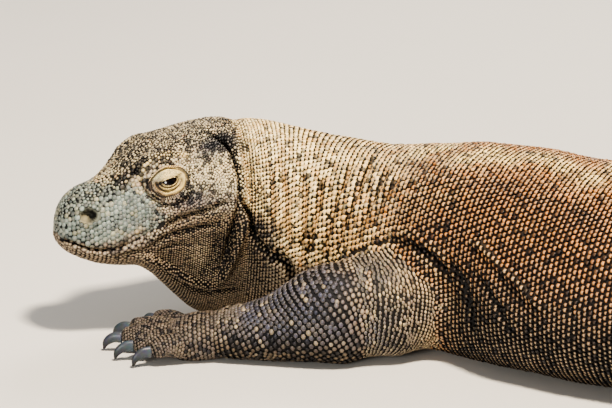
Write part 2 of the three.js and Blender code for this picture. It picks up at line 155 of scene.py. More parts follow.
# side is 1 on the left; fan gives the toes' directions in degrees, toes and claw their lengths.
LEGS = {
    "fore_left": {
        "side": 1,
        "upper": length_of_limb([(154, -60, 82), (124, -120, 63), (84, -150, 54), (30, -163, 49)],
                                [44, 53, 54, 48], [46, 52, 54, 50], (0, 36)),
        "lower": length_of_limb([(86, -158, 51), (30, -164, 48), (-36, -162, 30), (-100, -158, 22)],
                                [48, 50, 39, 30], [50, 52, 32, 22], (40, 14)),
        "palm": length_of_limb([(-86, -158, 22), (-112, -158, 20), (-142, -156, 15)],
                               [30, 34, 34], [23, 23, 17], (0, 16)),
        "fan": [22, 10, -3, -19, -42], "toes": [17, 34, 47, 44, 30], "claw": 19,
    },
    "fore_right": {
        "side": -1,
        "upper": length_of_limb([(162, -30, 80), (158, 30, 62), (134, 72, 53), (104, 108, 48)],
                                [44, 50, 49, 44], [46, 50, 50, 46], (0, 36)),
        "lower": length_of_limb([(142, 84, 49), (84, 117, 43), (32, 126, 31), (-12, 128, 24)],
                                [46, 46, 38, 30], [48, 46, 34, 25], (36, 14)),
        "palm": length_of_limb([(0, 128, 23), (-26, 130, 21), (-54, 133, 15)],
                               [30, 34, 34], [24, 23, 17], (0, 16)),
        "fan": [34, 14, -2, -18, -42], "toes": [28, 38, 44, 40, 30], "claw": 19,
    },
    "hind_left": hind_leg(
        1,
        [(738, -262, 84), (744, -310, 80), (716, -358, 74), (672, -392, 62)],
        [(672, -386, 56), (708, -408, 46), (752, -416, 35), (796, -422, 27)],
        [(800, -424, 25), (762, -440, 20), (712, -456, 15)],
    ),
    "hind_right": hind_leg(
        -1,
        [(730, -186, 84), (722, -138, 80), (688, -96, 74), (640, -70, 62)],
        [(640, -76, 56), (674, -50, 46), (716, -36, 35), (760, -26, 27)],
        [(764, -24, 25), (724, -12, 20), (672, 0, 15)],
    ),
}
# Toes and claws: half widths and half heights along each, and the height of its middle over the floor.
TOE = {"wide": [12, 11, 8.5], "high": [13, 11.5, 9], "height": [16, 20, 16]}
TOE_END = 7  # a toe rounds off over this much
TOE_INSET = 22  # a toe starts this far inside the palm
TOE_SPREAD = 11.7  # between the roots of two toes
TOE_KNUCKLE = 0.55  # share of the toe where its knuckle is
CLAW = {"wide": [4.2, 3.6, 2.6, 0.8], "high": [6, 5.4, 3.8, 0.9], "height": [15.5, 15, 9.5, 2.2]}
CLAW_STEPS = [0, 0.45, 0.85, 1]
UNDERSIDE = 2.5  # squareness of a leg's lower half, which its weight flattens
FLOOR_SKIN = 0.8  # the skin stays this far over the floor, for the scales under it


def curve(at, value, x):
    """Smooth curve through (at, value): cubic pieces whose slopes are means weighted by the gaps."""
    at, value, x = np.asarray(at, float), np.asarray(value, float), np.asarray(x, float)
    gap = np.diff(at)
    rise = np.diff(value) / gap
    slope = np.empty(len(at))
    slope[0], slope[-1] = rise[0], rise[-1]
    slope[1:-1] = (rise[:-1] * gap[1:] + rise[1:] * gap[:-1]) / (gap[:-1] + gap[1:])
    i = np.clip(np.searchsorted(at, x, side="right") - 1, 0, len(at) - 2)
    h, t = gap[i], (x - at[i]) / gap[i]
    return (
        value[i] * (2 * t**3 - 3 * t**2 + 1) + slope[i] * h * (t**3 - 2 * t**2 + t)
        + value[i + 1] * (3 * t**2 - 2 * t**3) + slope[i + 1] * h * (t**3 - t**2)
    )


def step(low, high, x):
    """0 below low, 1 above high, and a smooth S between them; it falls instead if low is over high."""
    t = np.clip((np.asarray(x, float) - low) / (high - low), 0, 1)
    return t * t * (3 - 2 * t)


def bump(x, middle, reach):
    """A bell of height 1 round the middle."""
    return np.exp(-(((np.asarray(x, float) - middle) / reach) ** 2))


def unit(v):
    """Vectors over their own lengths."""
    return v / np.maximum(np.linalg.norm(v, axis=-1, keepdims=True), 1e-9)


def power(value, squareness):
    """A cosine or sine made squarer: its size to the power of 2 over the squareness, sign kept."""
    return np.sign(value) * np.abs(value) ** (2 / squareness)


# The middle line of the body: paces of 5 mm, each turned to its heading.
pace_at = np.arange(0, LENGTH + 1, PACE)
pace_turn = np.radians(curve(HEADING_AT, HEADING, pace_at[:-1] + PACE / 2))
paces = np.stack([np.cos(pace_turn), np.sin(pace_turn)], 1) * PACE
MIDDLE_LINE = np.vstack([[0, 0], np.cumsum(paces, 0)]) + SNOUT


def from_left(degrees):
    """Angles round a section from -90 at the belly, over the left side and the back, to 270."""
    return np.where(degrees > 270, degrees - 360, degrees)


def within(points, low, high, reach):
    """Row numbers of the points inside a box widened by a reach on every side."""
    return np.flatnonzero(((points > low - reach) & (points < high + reach)).all(1))


def corners_of(points, faces):
    """The first, second and third corners of triangles."""
    return (points[faces[:, k]] for k in range(3))


def pick(made, rows):
    """Some rows of each column of a table."""
    return {key: value[rows] for key, value in made.items()}


def level_of(degrees):
    """Height round a section as a level: 0 on both sides, 90 along the back, -90 along the belly."""
    turned = from_left(degrees)
    return np.where(turned > 90, 180 - turned, turned)


def body_surface(s, degrees, inward=0.0):
    """A point of the body at distance s from the snout and an angle round the section, 0 at the left
    side and 90 at the back. Each half of the section is a superellipse, |x/a|^q + |z/b|^q = 1; the
    snout closes as another, and swellings push outwards from the section's middle."""
    s, degrees = np.broadcast_arrays(np.asarray(s, float), np.asarray(degrees, float))
    row = [curve(SECTIONS[:, 0], SECTIONS[:, k], s) for k in range(1, 7)]
    top, middle, bottom, half, upper, lower = row
    nose = (1 - np.clip(1 - s / NOSE_ROUND, 0, 1) ** NOSE_POWER) ** (1 / NOSE_POWER)
    angle = np.radians(degrees)
    above = np.sin(angle) >= 0
    reach = np.where(above, top - middle, middle - bottom)
    square = np.where(above, upper, lower)
    out = half * nose * power(np.cos(angle), square)
    rise = reach * nose * power(np.sin(angle), square)
    level = level_of(degrees)
    swell = sum(h * bump(s, at, along) * bump(level, lv, around) for at, lv, h, along, around in FORMS)
    far = np.maximum(np.hypot(out, rise), 1e-6)
    scale = np.maximum(1 + (swell * nose - inward * np.minimum(1, far / 8)) / far, 0)
    turn = np.radians(curve(HEADING_AT, HEADING, s))
    x = np.interp(s, pace_at, MIDDLE_LINE[:, 0]) + out * scale * np.sin(turn)
    y = np.interp(s, pace_at, MIDDLE_LINE[:, 1]) - out * scale * np.cos(turn)
    return np.stack([x, y, np.maximum(middle + rise * scale, 0)], -1)


def limb_length(segment):
    """Distance along a limb's line at each of its points: the running sum of the straight gaps."""
    points = np.array(segment["points"], float)
    return np.concatenate([[0], np.cumsum(np.linalg.norm(np.diff(points, axis=0), axis=1))])


def limb_surface(segment, x, degrees, inward=0.0):
    """A point of a limb at distance x along its line of points and an angle round it, 90 upwards. The
    section is an ellipse, squarer below, and shrinks as a quarter circle towards a rounded end."""
    x, degrees = np.broadcast_arrays(np.asarray(x, float), np.asarray(degrees, float))
    points, along = np.array(segment["points"], float), limb_length(segment)
    length = along[-1]

    def place(d):
        """The limb's middle at a distance along it, a smooth curve through its points."""
        return np.stack([curve(along, points[:, k], d) for k in range(3)], -1)

    def shrink(distance, reach):
        """A quarter circle from 0 at the end to 1 at its reach."""
        if reach == 0:
            return np.ones_like(distance)
        return np.sqrt(1 - np.clip(1 - distance / reach, 0, 1) ** 2)

    ahead = unit(place(np.minimum(x + 1, length)) - place(np.maximum(x - 1, 0)))
    side = unit(np.cross(np.broadcast_to([0.0, 0, 1], ahead.shape), ahead))
    up = np.cross(ahead, side)
    first, last = segment["round"]
    size = shrink(x, first) * shrink(length - x, last)
    wide = np.maximum(curve(along, segment["wide"], x) * size - inward * np.minimum(1, size * 2), 0)
    high = np.maximum(curve(along, segment["high"], x) * size - inward * np.minimum(1, size * 2), 0)
    angle = np.radians(degrees)
    square = np.where(np.sin(angle) < 0, UNDERSIDE, 2)
    out = side * (wide * power(np.cos(angle), square))[..., None]
    point = place(x) + out + up * (high * power(np.sin(angle), square))[..., None]
    point[..., 2] = np.maximum(point[..., 2], 0)
    return point


def toe_lines(leg):
    """The five toes and claws of a foot: straight lines fanned about the palm's own direction."""
    points = np.array(leg["palm"]["points"], float)
    ahead = unit(points[-1, :2] - points[0, :2])
    across = np.array([ahead[1], -ahead[0]]) * -leg["side"]
    lines = []
    for i, fan in enumerate(np.radians(leg["fan"])):
        way = ahead * math.cos(fan) + across * math.sin(fan)
        start = points[-1, :2] - ahead * TOE_INSET + across * TOE_SPREAD * (2 - i)
        reach = leg["toes"][i] + TOE_INSET
        toe_at = [0, reach * TOE_KNUCKLE, reach]
        claw_at = [reach + leg["claw"] * k for k in CLAW_STEPS]
        lines.append({
            "toe": length_of_limb([(*(start + way * d), z) for d, z in zip(toe_at, TOE["height"])],
                                  TOE["wide"], TOE["high"], (0, TOE_END)),
            "claw": length_of_limb([(*(start + way * d), z) for d, z in zip(claw_at, CLAW["height"])],
                                   CLAW["wide"], CLAW["high"]),
        })
    return lines


for leg in LEGS.values():
    leg["digits"] = toe_lines(leg)


def eye_frame(sign):
    """Middle of an eyeball and its directions: towards the snout, up, and outwards with a small lift."""
    turn = math.radians(float(curve(HEADING_AT, HEADING, EYE["at"])))
    out = np.array([math.sin(turn), -math.cos(turn), 0]) * sign
    forward = -np.array([math.cos(turn), math.sin(turn), 0])
    base = [np.interp(EYE["at"], pace_at, MIDDLE_LINE[:, k]) for k in range(2)]
    middle = np.array([*base, EYE["height"]]) + out * EYE["side"]
    gaze = out * math.cos(EYE_LIFT) + np.array([0, 0, math.sin(EYE_LIFT)])
    up = np.array([0, 0, math.cos(EYE_LIFT)]) - out * math.sin(EYE_LIFT)
    return middle, forward, up, gaze


EYES = {"left": eye_frame(1), "right": eye_frame(-1)}

# The part's frame: the animal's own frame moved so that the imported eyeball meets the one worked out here.
eye_low, eye_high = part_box("eye_left")
SHIFT = (np.array(eye_low) + np.array(eye_high)) / 2 - EYES["left"][0] * 0.001
SHIFT[2] = 0


def metres(points):
    """Places in the animal's frame as places in the part's."""
    return np.asarray(points) * 0.001 + SHIFT


# ---- Folds and creases of the skin ----

# Each fold follows a line on the body, given by places (distance from the snout, level), and is a
# groove of one depth and width between two rolls of another height and width. Negative depth is a ridge.
# A row is the line, then depth, width, height of the rolls and their spread.
BODY_FOLDS = {
    "mouth": ([(3, 3), (14, 1), (28, -2), (48, -2), (62, 0), (80, 1), (98, 1), (106, 1)], 5.5, 2.2, 1.8, 5),
    "cheek": ([
        (100, 0), (108, 0), (116, -1), (125, -1), (136, -1), (146, 0), (155, 1), (163, 2), (172, 3)
    ], 8, 3.0, 3.4, 8),
    "jowl": ([
        (56, -16), (73, -13), (86, -12), (96, -9), (106, -8), (119, -10), (135, -10), (150, -9), (162, -8)
    ], 6.5, 2.8, 3.0, 6.5),
    "jowl lower": ([(84, -19), (98, -18), (112, -19), (128, -20), (140, -19)], 2.6, 2.4, 1.4, 6),
    "gular": ([
        (76, -22), (89, -30), (106, -41), (121, -45), (134, -46), (149, -46), (166, -46)], -7, 4.4, -2.2, 11),
    "under the gular": ([(98, -46), (121, -51), (141, -52), (156, -50), (178, -48), (192, -46)], 4, 4, 1, 10),
    "throat hollow": ([(166, -14), (162, -22), (157, -31), (152, -38)], 6.5, 9, 0.5, 16),
    "behind the head": ([
        (160, 70), (166, 62), (173, 54), (179, 44), (183, 30), (185, 18), (184, 8), (182, 0), (178, -7),
        (174, -15), (171, -23), (167, -32), (161, -39)], 9, 3.6, 3.4, 9),
    "throat": ([(189, -2), (185, -13), (179, -23), (172, -32), (164, -42)], -7.0, 4.0, -1.5, 9),
    "collar": ([
        (188, 6), (193, -4), (199, -11), (207, -16), (219, -19), (233, -20), (247, -22), (256, -30),
        (262, -40)], 9, 4.6, 4.0, 10),
    "shoulder": ([
        (334, -9), (346, -4), (359, 2), (372, 6), (386, 10), (402, 13), (420, 15), (434, 15), (445, 14),
        (456, 12), (467, 8), (476, 0)], 7, 4.4, 4.4, 12),
    "over the arm": ([(352, -10), (366, -2), (388, 4), (412, 8), (436, 6), (452, -1)], 4, 3.4, 2.6, 7),
    "armpit": ([(470, 14), (484, 8), (496, 0), (502, -10), (504, -22)], 5, 6, 2.4, 14),
    "flank 1": ([(492, 28), (512, 26), (534, 20), (560, 13), (588, 4)], -5.5, 4, -1.6, 11),
    "flank 2": ([(506, 12), (524, 6), (542, -2), (556, -12)], 2.6, 5, 1.6, 13),
    "flank 3": ([(600, 22), (614, 8), (622, -8), (624, -24)], 1.6, 5, 1.2, 15),
    "flank 4": ([(690, 30), (702, 10), (706, -12), (704, -28)], 1.6, 6, 1.2, 18),
    "groin": ([(868, 24), (880, 10), (890, -4), (892, -20)], 4, 6, 2, 16),
    "hip": ([(1040, 26), (1052, 8), (1058, -10)], 3, 6, 2, 16),
    "brow rim": ([(80, 44), (90, 51), (104, 54), (118, 52), (132, 46)], -2.0, 2.6, 0, 5),
    "canthus": ([(64, 44), (72, 49), (82, 52)], 3.0, 2.4, 1.0, 5),
    "orbit": ([(82, 40), (84, 31), (90, 20), (99, 12), (111, 7), (124, 8), (134, 14)], 4.5, 2.6, 1.2, 5),
    "temple": ([(132, 40), (146, 40), (162, 38)], 1.6, 2.6, 0.9, 6),
}
# Wrinkles that ring the neck, fanning out to its back: places and depth. Their rolls are half as high.
NECK_WRINKLES = [
    ([(225, -9), (228, 9), (228, 28), (222, 40)], 4.5),
    ([(239, -12), (240, 8), (238, 26)], 2.5),
    ([(253, -12), (250, 6), (247, 31), (242, 47)], 3.5),
    ([(268, -14), (277, 3), (277, 25), (271, 45)], 4.5),
    ([(279, -15), (292, 6), (299, 25), (299, 46)], 7.0),
    ([(292, -13), (304, 8), (310, 27), (314, 46)], 3.0),
    ([(304, -12), (315, 10), (321, 30), (328, 47), (330, 62)], 5.5),
    ([(314, -11), (323, 8), (332, 30), (338, 48)], 3.0),
    ([(324, -9), (332, 6), (343, 29), (349, 50), (350, 71)], 6.0),
    ([(336, -6), (346, 12), (357, 34), (362, 56)], 3.0),
    ([(346, -2), (360, 18), (370, 40), (375, 62)], 5.0),
    ([(366, 12), (376, 28), (386, 44), (392, 60)], 3.0),
]
for number, (line, depth) in enumerate(NECK_WRINKLES, 1):
    BODY_FOLDS[f"neck {number}"] = (line, depth, 4.2, depth * 0.5, 8)
# Wrinkles round a limb: distance along it, angles where each starts and ends, depth and width.
LIMB_FOLDS = {
    ("fore_left", "upper"): [(66, 0, 170, 2.0, 3), (80, 0, 170, 2.2, 3), (96, -20, 160, 2.0, 3)],
    ("fore_left", "lower"): [(160, -30, 200, 2.0, 3), (171, -30, 200, 2.2, 2.6), (181, -30, 200, 1.6, 2.2)],
    ("fore_left", "palm"): [(14, -20, 200, 1.6, 2.4), (30, 0, 180, 1.2, 2)],
    ("fore_right", "upper"): [(96, 60, 230, 2.4, 4)],
    ("fore_right", "lower"): [(150, -10, 190, 2.2, 3), (162, -10, 190, 1.6, 2.4)],
    ("hind_left", "lower"): [(118, -10, 190, 1.8, 3)],
    ("hind_right", "lower"): [(118, -10, 190, 1.8, 3)],
}


def dense_line(places, surface, spacing=1.5):
    """Points every spacing along a line of places on a surface, with a smooth way between them."""
    places = np.array(places, float)
    corners = surface(places[:, 0], places[:, 1])
    along = np.concatenate([[0], np.cumsum(np.linalg.norm(np.diff(corners, axis=0), axis=1))])
    at = np.linspace(0, along[-1], max(int(along[-1] / spacing), 3))
    return surface(curve(along, places[:, 0], at), curve(along, places[:, 1], at))


def fold_lines():
    """Every fold as (points, strength at each point, depth, width, roll, spread), both sides alike."""
    found = []
    for line, depth, width, roll, spread in BODY_FOLDS.values():
        for flip in (False, True):
            def surface(s, level, flip=flip):
                """The body at a level of the left side, or of the right side if flipped."""
                degrees = 180 - level if flip else np.where(level < 0, level + 360, level)
                return body_surface(s, degrees)
            points = dense_line(line, surface)
            fade = np.linspace(0, 1, len(points))
            strength = np.minimum(1, 7 * np.minimum(fade + 0.03, 1.03 - fade))
            found.append((points, strength, depth, width, roll, spread))
    for (name, part), rings in LIMB_FOLDS.items():
        segment = LEGS[name][part]
        for at, start, end, depth, width in rings:
            angle = np.linspace(start, end, 60)
            points = limb_surface(segment, at + 3 * np.sin(np.radians(angle * 2)), angle)
            strength = np.sin(np.linspace(0.1, math.pi - 0.1, 60)) ** 0.5
            found.append((points, strength, depth, width, depth * 0.5, width * 2.6))
    return found


FOLDS = fold_lines()


LINE_REACH = 9  # farther from the lines' box than this, a point counts as far off
DEEP_FOLDS = {"behind the head", "collar", "shoulder", "cheek"}  # too narrow inside for scales


def line_distance(points, names):
    """Distance from each point to the nearest of the named folds' lines."""
    chosen = [i for i, name in enumerate(BODY_FOLDS) if name in names]
    line = np.concatenate([FOLDS[2 * i + k][0] for i in chosen for k in (0, 1)])
    found = np.full(len(points), FAR_OFF)
    near = within(points, line.min(0), line.max(0), LINE_REACH)
    for part in np.array_split(near, max(1, len(near) // 4000)):
        found[part] = np.sqrt(((points[part, None] - line[None]) ** 2).sum(-1).min(1))
    return found


NOSTRIL_AT = (28.5, 33)  # distance from the snout and level
NOSTRIL_OVAL = (8.4, 7.0)  # half length and half height of the opening
NOSTRIL_DEPTH = 13  # farther in or out than this is not the nostril
NOSTRIL_LEVELS = (NOSTRIL_AT[1], 180 - NOSTRIL_AT[1])
NOSTRILS = [body_surface(NOSTRIL_AT[0], turned) for turned in NOSTRIL_LEVELS]
NOSTRIL_FACES = [
    unit(np.cross(body_surface(NOSTRIL_AT[0] + 2, turned) - middle,
                  body_surface(NOSTRIL_AT[0], turned + 2) - middle))
    for turned, middle in zip(NOSTRIL_LEVELS, NOSTRILS)
]


def nostril_distance(points):
    """Distance from the nearer nostril in its own oval measure, seen straight on: 1 at the edge of the
    opening, however deep the place lies in it."""
    turn = math.radians(HEADING[0])
    along = np.array([math.cos(turn), math.sin(turn), 0.12])
    found = np.full(len(points), FAR_OFF)
    for middle, face in zip(NOSTRILS, NOSTRIL_FACES):
        away = points - middle
        depth = away @ face
        away = away - depth[:, None] * face
        forward = away @ along
        rest = np.sqrt(np.maximum((away**2).sum(1) - forward**2, 0))
        oval = np.hypot(forward / NOSTRIL_OVAL[0], rest / NOSTRIL_OVAL[1])
        found = np.where(np.abs(depth) < NOSTRIL_DEPTH, np.minimum(found, oval), found)
    return found


def nostril_floor(points):
    """The pale floor of a nostril, low and towards the snout in the opening, 0 to 1."""
    turn = math.radians(HEADING[0])
    found = np.zeros(len(points))
    for middle in NOSTRILS:
        away = points - middle
        ahead = -(away @ np.array([math.cos(turn), math.sin(turn), 0]))
        found = np.maximum(found, bump(ahead, 3.4, 6.2) * bump(away[:, 2], -3.8, 5.2))
    return found


def relief(points):
    """How far the skin stands over the plain form at some points, in mm. A fold gives
    roll*exp(-(d/spread)^2) - (depth + roll)*exp(-(d/width)^2) at distance d from its line; the nostril
    is a pit in a raised rim; slack skin adds slow ripples, a sum of sines."""
    points = np.asarray(points, float)
    total = np.zeros(len(points))
    for line, strength, depth, width, roll, spread in FOLDS:
        near = within(points, line.min(0), line.max(0), 2.5 * max(spread, width))
        for part in np.array_split(near, max(1, len(near) // 6000)):
            gap = ((points[part, None] - line[None]) ** 2).sum(-1)
            nearest = gap.argmin(1)
            d2 = gap[np.arange(len(part)), nearest]
            shape = roll * np.exp(-d2 / spread**2) - (depth + roll) * np.exp(-d2 / width**2)
            total[part] += shape * strength[nearest]
    d = nostril_distance(points)
    total += 2.0 * bump(d, 1.22, 0.42) - (9 - 6.5 * nostril_floor(points)) * np.exp(-((d / 0.93) ** 6))
    x, y, z = points.T
    slack = step(150, 420, x + 259) * 1.3
    ripple = np.sin(x / 9.7 + z / 21 + y / 33) + np.sin(x / 15.3 - z / 12.1 + 1.3)
    ripple = ripple + np.sin(y / 11.9 + z / 17 + 2)
    return total + slack * ripple * 0.33


# ---- Meshes from arrays ----


def mesh_object(name, points, triangles, attributes=None, uv=None):
    """A smooth-shaded object from points in mm and triangles, with a float attribute for each name in
    attributes and a UV place for each point."""
    mesh = bpy.data.meshes.new(name)
    mesh.vertices.add(len(points))
    mesh.vertices.foreach_set("co", metres(points).astype(np.float32).ravel())
    mesh.loops.add(triangles.size)
    mesh.loops.foreach_set("vertex_index", triangles.astype(np.int32).ravel())
    mesh.polygons.add(len(triangles))
    mesh.polygons.foreach_set("loop_start", np.arange(0, triangles.size, 3, dtype=np.int32))
    mesh.polygons.foreach_set("use_smooth", np.ones(len(triangles), bool))
    mesh.update(calc_edges=True)
    for key, values in (attributes or {}).items():
        mesh.attributes.new(key, "FLOAT", "POINT").data.foreach_set("value", values.astype(np.float32))
    if uv is not None:
        layer = mesh.uv_layers.new(name="OFBake")
        layer.data.foreach_set("uv", uv[triangles.ravel()].astype(np.float32).ravel())
    made = bpy.data.objects.new(name, mesh)
    bpy.context.collection.objects.link(made)
    return made


def triangles_of(*triples):
    """Triangles as rows of three corners, from sets of three arrays or single numbers of corners."""
    return np.concatenate([np.stack(np.broadcast_arrays(*corners), -1).reshape(-1, 3) for corners in triples])


def loft(rings, first=None, last=None):
    """A closed tube through rings (rows x columns x 3), with a pole at each end: the given point, or
    the end ring's middle. Columns turn so that faces point outwards."""
    rows, columns = rings.shape[:2]
    first = rings[0].mean(0) if first is None else first
    last = rings[-1].mean(0) if last is None else last
    points = np.vstack([rings.reshape(-1, 3), first, last])
    here = np.arange(columns)
    there = (here + 1) % columns
    corner = np.arange(rows - 1)[:, None] * columns
    a, b = corner + here, corner + there
    c, d = a + columns, b + columns
    pole, top = rows * columns, (rows - 1) * columns
    caps = (pole, here, there), (pole + 1, top + there, top + here)
    return points, triangles_of((a, c, b), (b, c, d), *caps)


def grid_normals(points):
    """Outward normals of a grid closed across its columns."""
    along = np.gradient(points, axis=0)
    around = (np.roll(points, -1, 1) - np.roll(points, 1, 1)) / 2
    return unit(np.cross(along, around))


def coat_depth(s):
    """How deep the scales over the body's skin are."""
    return curve([0, 150, 220, 300, 500, 1400, 2000, 2500], [0.9, 1.0, 1.3, 1.5, 1.9, 1.8, 1.4, 0.5], s)


def body_columns(count):
    """Angles round the body, closer together on the sides of the head, where the eyes and lips are."""
    fine = np.linspace(0, 360, 3601)
    level = level_of(fine)
    density = 1 + 1.1 * bump(level, 16, 28)
    run = np.concatenate([[0], np.cumsum((density[1:] + density[:-1]) / 2)])
    return np.interp(np.arange(count) * run[-1] / count, run, fine)


def body_rows(stops):
    """Distances from the snout with steps that change from stop to stop."""
    rows = [np.arange(start, end, pace) for (start, pace), (end, _) in zip(stops, stops[1:])]
    return np.concatenate(rows)


def skin_rings(s, degrees):
    """Rows of the body's skin, the coat's depth inside the form, moved along normals by the relief."""
    s, degrees = np.meshgrid(s, degrees, indexing="ij")
    points = body_surface(s, degrees, coat_depth(s))
    normals = grid_normals(points)
    flat = points.reshape(-1, 3)
    lift = relief(flat).reshape(s.shape)
    points = points + normals * (lift * step(0, 6, s))[..., None]
    points[..., 2] = np.maximum(points[..., 2], FLOOR_SKIN)
    return points


# Distances from the snout and the step between the skin's rows from there on; the last one ends them.
FRONT_ROWS = [(0.5, 0.5), (3, 1.0), (8, 1.4), (62, 1.15), (140, 1.5), (240, 2.6), (420, 3.4), (600, 4.6),
              (720, 1)]
REAR_ROWS = [(720, 7), (1150, 11), (1700, 15), (2440, 8), (2498, 1)]
COLUMNS = 148


def body_skin():
    """The body's skin: a fine grid in front and one of half the columns behind, stitched row to row."""
    columns = body_columns(COLUMNS)
    front = skin_rings(body_rows(FRONT_ROWS), columns)
    rear = skin_rings(body_rows(REAR_ROWS), columns[::2])
    tip = body_surface(0, 0, 0.8)
    points, faces = loft(front, first=tip)
    rear_points, rear_faces = loft(rear)
    # The front's last cap and the rear's first cap give way to the seam between them.
    faces = faces[(faces < len(points) - 1).all(1)]
    first_pole = len(rear_points) - 2
    rear_faces = rear_faces[(rear_faces != first_pole).all(1)]
    base = len(points)
    last_row = (len(front) - 1) * COLUMNS
    j = np.arange(COLUMNS // 2)
    a, b, c = last_row + 2 * j, last_row + 2 * j + 1, last_row + (2 * j + 2) % COLUMNS
    p, q = base + j, base + (j + 1) % (COLUMNS // 2)
    seam = triangles_of((a, p, b), (b, p, q), (b, q, c))
    return np.vstack([points, rear_points]), np.concatenate([faces, rear_faces + base, seam])


def drop_unused(points, faces):
    """Points that some face uses, and the faces renumbered to them."""
    used = np.unique(faces)
    renumber = np.zeros(len(points), int)
    renumber[used] = np.arange(len(used))
    return points[used], renumber[faces]


def limb_places(segment, rows):
    """Distances along a limb, closer together towards the ends."""
    length = limb_length(segment)[-1]
    i = np.arange(rows)
    return length * (1 - np.cos(math.pi * (i + 0.35) / (rows - 0.3))) / 2


def limb_skin(segment, rows, columns, inward):
    """A limb length's closed skin, inward of its form and moved along its normals by the relief."""
    x, degrees = np.meshgrid(limb_places(segment, rows), np.arange(columns) * 360 / columns, indexing="ij")
    points = limb_surface(segment, x, degrees, inward)
    normals = grid_normals(points)
    points = points + normals * relief(points.reshape(-1, 3)).reshape(x.shape)[..., None]
    points[..., 2] = np.maximum(points[..., 2], FLOOR_SKIN)
    return loft(points)


# ---- The ring of lids round each eye ----

LID_RADIUS = 13.2  # of the lids' outer face, over the eyeball
LID_GRID = (120, 42)  # columns round the slit and rows outwards
LID_BACK = -3  # depth of the ring's back
LID_WALLS = (13.5, 11.4)  # radii where the back ends and where the inner face starts on the eyeball
LID_GAP = 0.12  # between the lids' inner face and the eyeball
# Places in the eye's plane: u towards the snout, v up.
SLIT = {"front": np.array([8.6, 1.4]), "rear": np.array([-5.8, 5.0]), "drop": 4.9, "arch": 1.3}
LIDS = {"u": 2.0, "v": 0.6, "wide": 20.8, "high": 19.4}
# Creases from the slit's corners, front and rear: where each ends.
LID_CREASES = [("rear", (-13.5, 9.6)), ("front", (13.5, -1.6))]
# Swellings of the lids across the ring, by share of the way out from the slit: at, height, reach.
LOWER_LID = [(0.06, 0.8, 0.045), (0.15, -1.5, 0.035), (0.26, 1.4, 0.06), (0.37, -2.0, 0.04),
             (0.56, 2.3, 0.11), (0.78, -1.8, 0.05)]
UPPER_LID = [(0.05, 0.8, 0.04), (0.12, -0.8, 0.03), (0.7, -1.9, 0.04), (0.84, 1.8, 0.08)]


def lid_swell(phi):
    """The ring's outline over its oval: longer along the slit, a little uneven."""
    return 1 + 0.07 * np.cos(2 * (phi + 0.35)) + 0.02 * np.sin(5 * phi + 1) + 0.012 * np.sin(9 * phi)


def lid_plane(phi, t):
    """Place in the eye's plane: from the slit's edge at t = 0 to the ring's edge, an ellipse, at t = 1.
    The slit is nearly straight above and hangs below as a bowl, |sin|^0.9."""
    middle, half = (SLIT["front"] + SLIT["rear"]) / 2, (SLIT["front"] - SLIT["rear"]) / 2
    length = np.hypot(*half)
    ahead = half / length
    sine = np.sin(phi)
    along = length * np.cos(phi)
    rise = np.where(sine > 0, SLIT["arch"] * sine, -SLIT["drop"] * np.abs(sine) ** 0.9)
    slit_u = middle[0] + along * ahead[0] - rise * ahead[1]
    slit_v = middle[1] + along * ahead[1] + rise * ahead[0]
    swell = lid_swell(phi)
    ring_u = LIDS["u"] + LIDS["wide"] * swell * np.cos(phi)
    ring_v = LIDS["v"] + LIDS["high"] * swell * sine
    return slit_u * (1 - t) + ring_u * t, slit_v * (1 - t) + ring_v * t


def eye_places(points, eye):
    """Points in an eye's plane: u, v and the depth along its gaze."""
    middle, forward, up, gaze = eye
    away = points - middle
    return away @ forward, away @ up, away @ gaze


def ring_distance(points):
    """Distance from the nearer eye in its ring's oval measure, 1 at the ring's edge, on that side only."""
    found = np.full(len(points), FAR_OFF)
    for eye in EYES.values():
        u, v, depth = eye_places(points, eye)
        across, rise = (u - LIDS["u"]) / LIDS["wide"], (v - LIDS["v"]) / LIDS["high"]
        oval = np.hypot(across, rise) / lid_swell(np.arctan2(rise, across))
        found = np.where(depth > BEHIND_EYE, np.minimum(found, oval), found)
    return found


def head_depth(tree, eye, u, v):
    """Depth of the head's skin along the gaze at places of the eye's plane, found by casting rays."""
    middle, forward, up, gaze = eye
    found = np.zeros(u.size)
    start = middle + forward * u.ravel()[:, None] + up * v.ravel()[:, None] + gaze * 40
    for i, origin in enumerate(start):
        hit = tree.ray_cast(Vector(origin), Vector(-gaze), 80)[3]
        found[i] = 40 - hit if hit is not None else -10
    return found.reshape(u.shape)


def crease_at(u, v):
    """How much a place of the eye's plane lies in a crease that runs on from the slit, 0 to 1."""
    found = np.zeros_like(u)
    for corner, end in LID_CREASES:
        start = SLIT[corner]
        way = np.array(end) - start
        along = np.clip(((u - start[0]) * way[0] + (v - start[1]) * way[1]) / (way @ way), 0, 1)
        gap = np.hypot(u - start[0] - along * way[0], v - start[1] - along * way[1])
        found = np.maximum(found, np.exp(-((gap / 1.15) ** 2)))
    return found


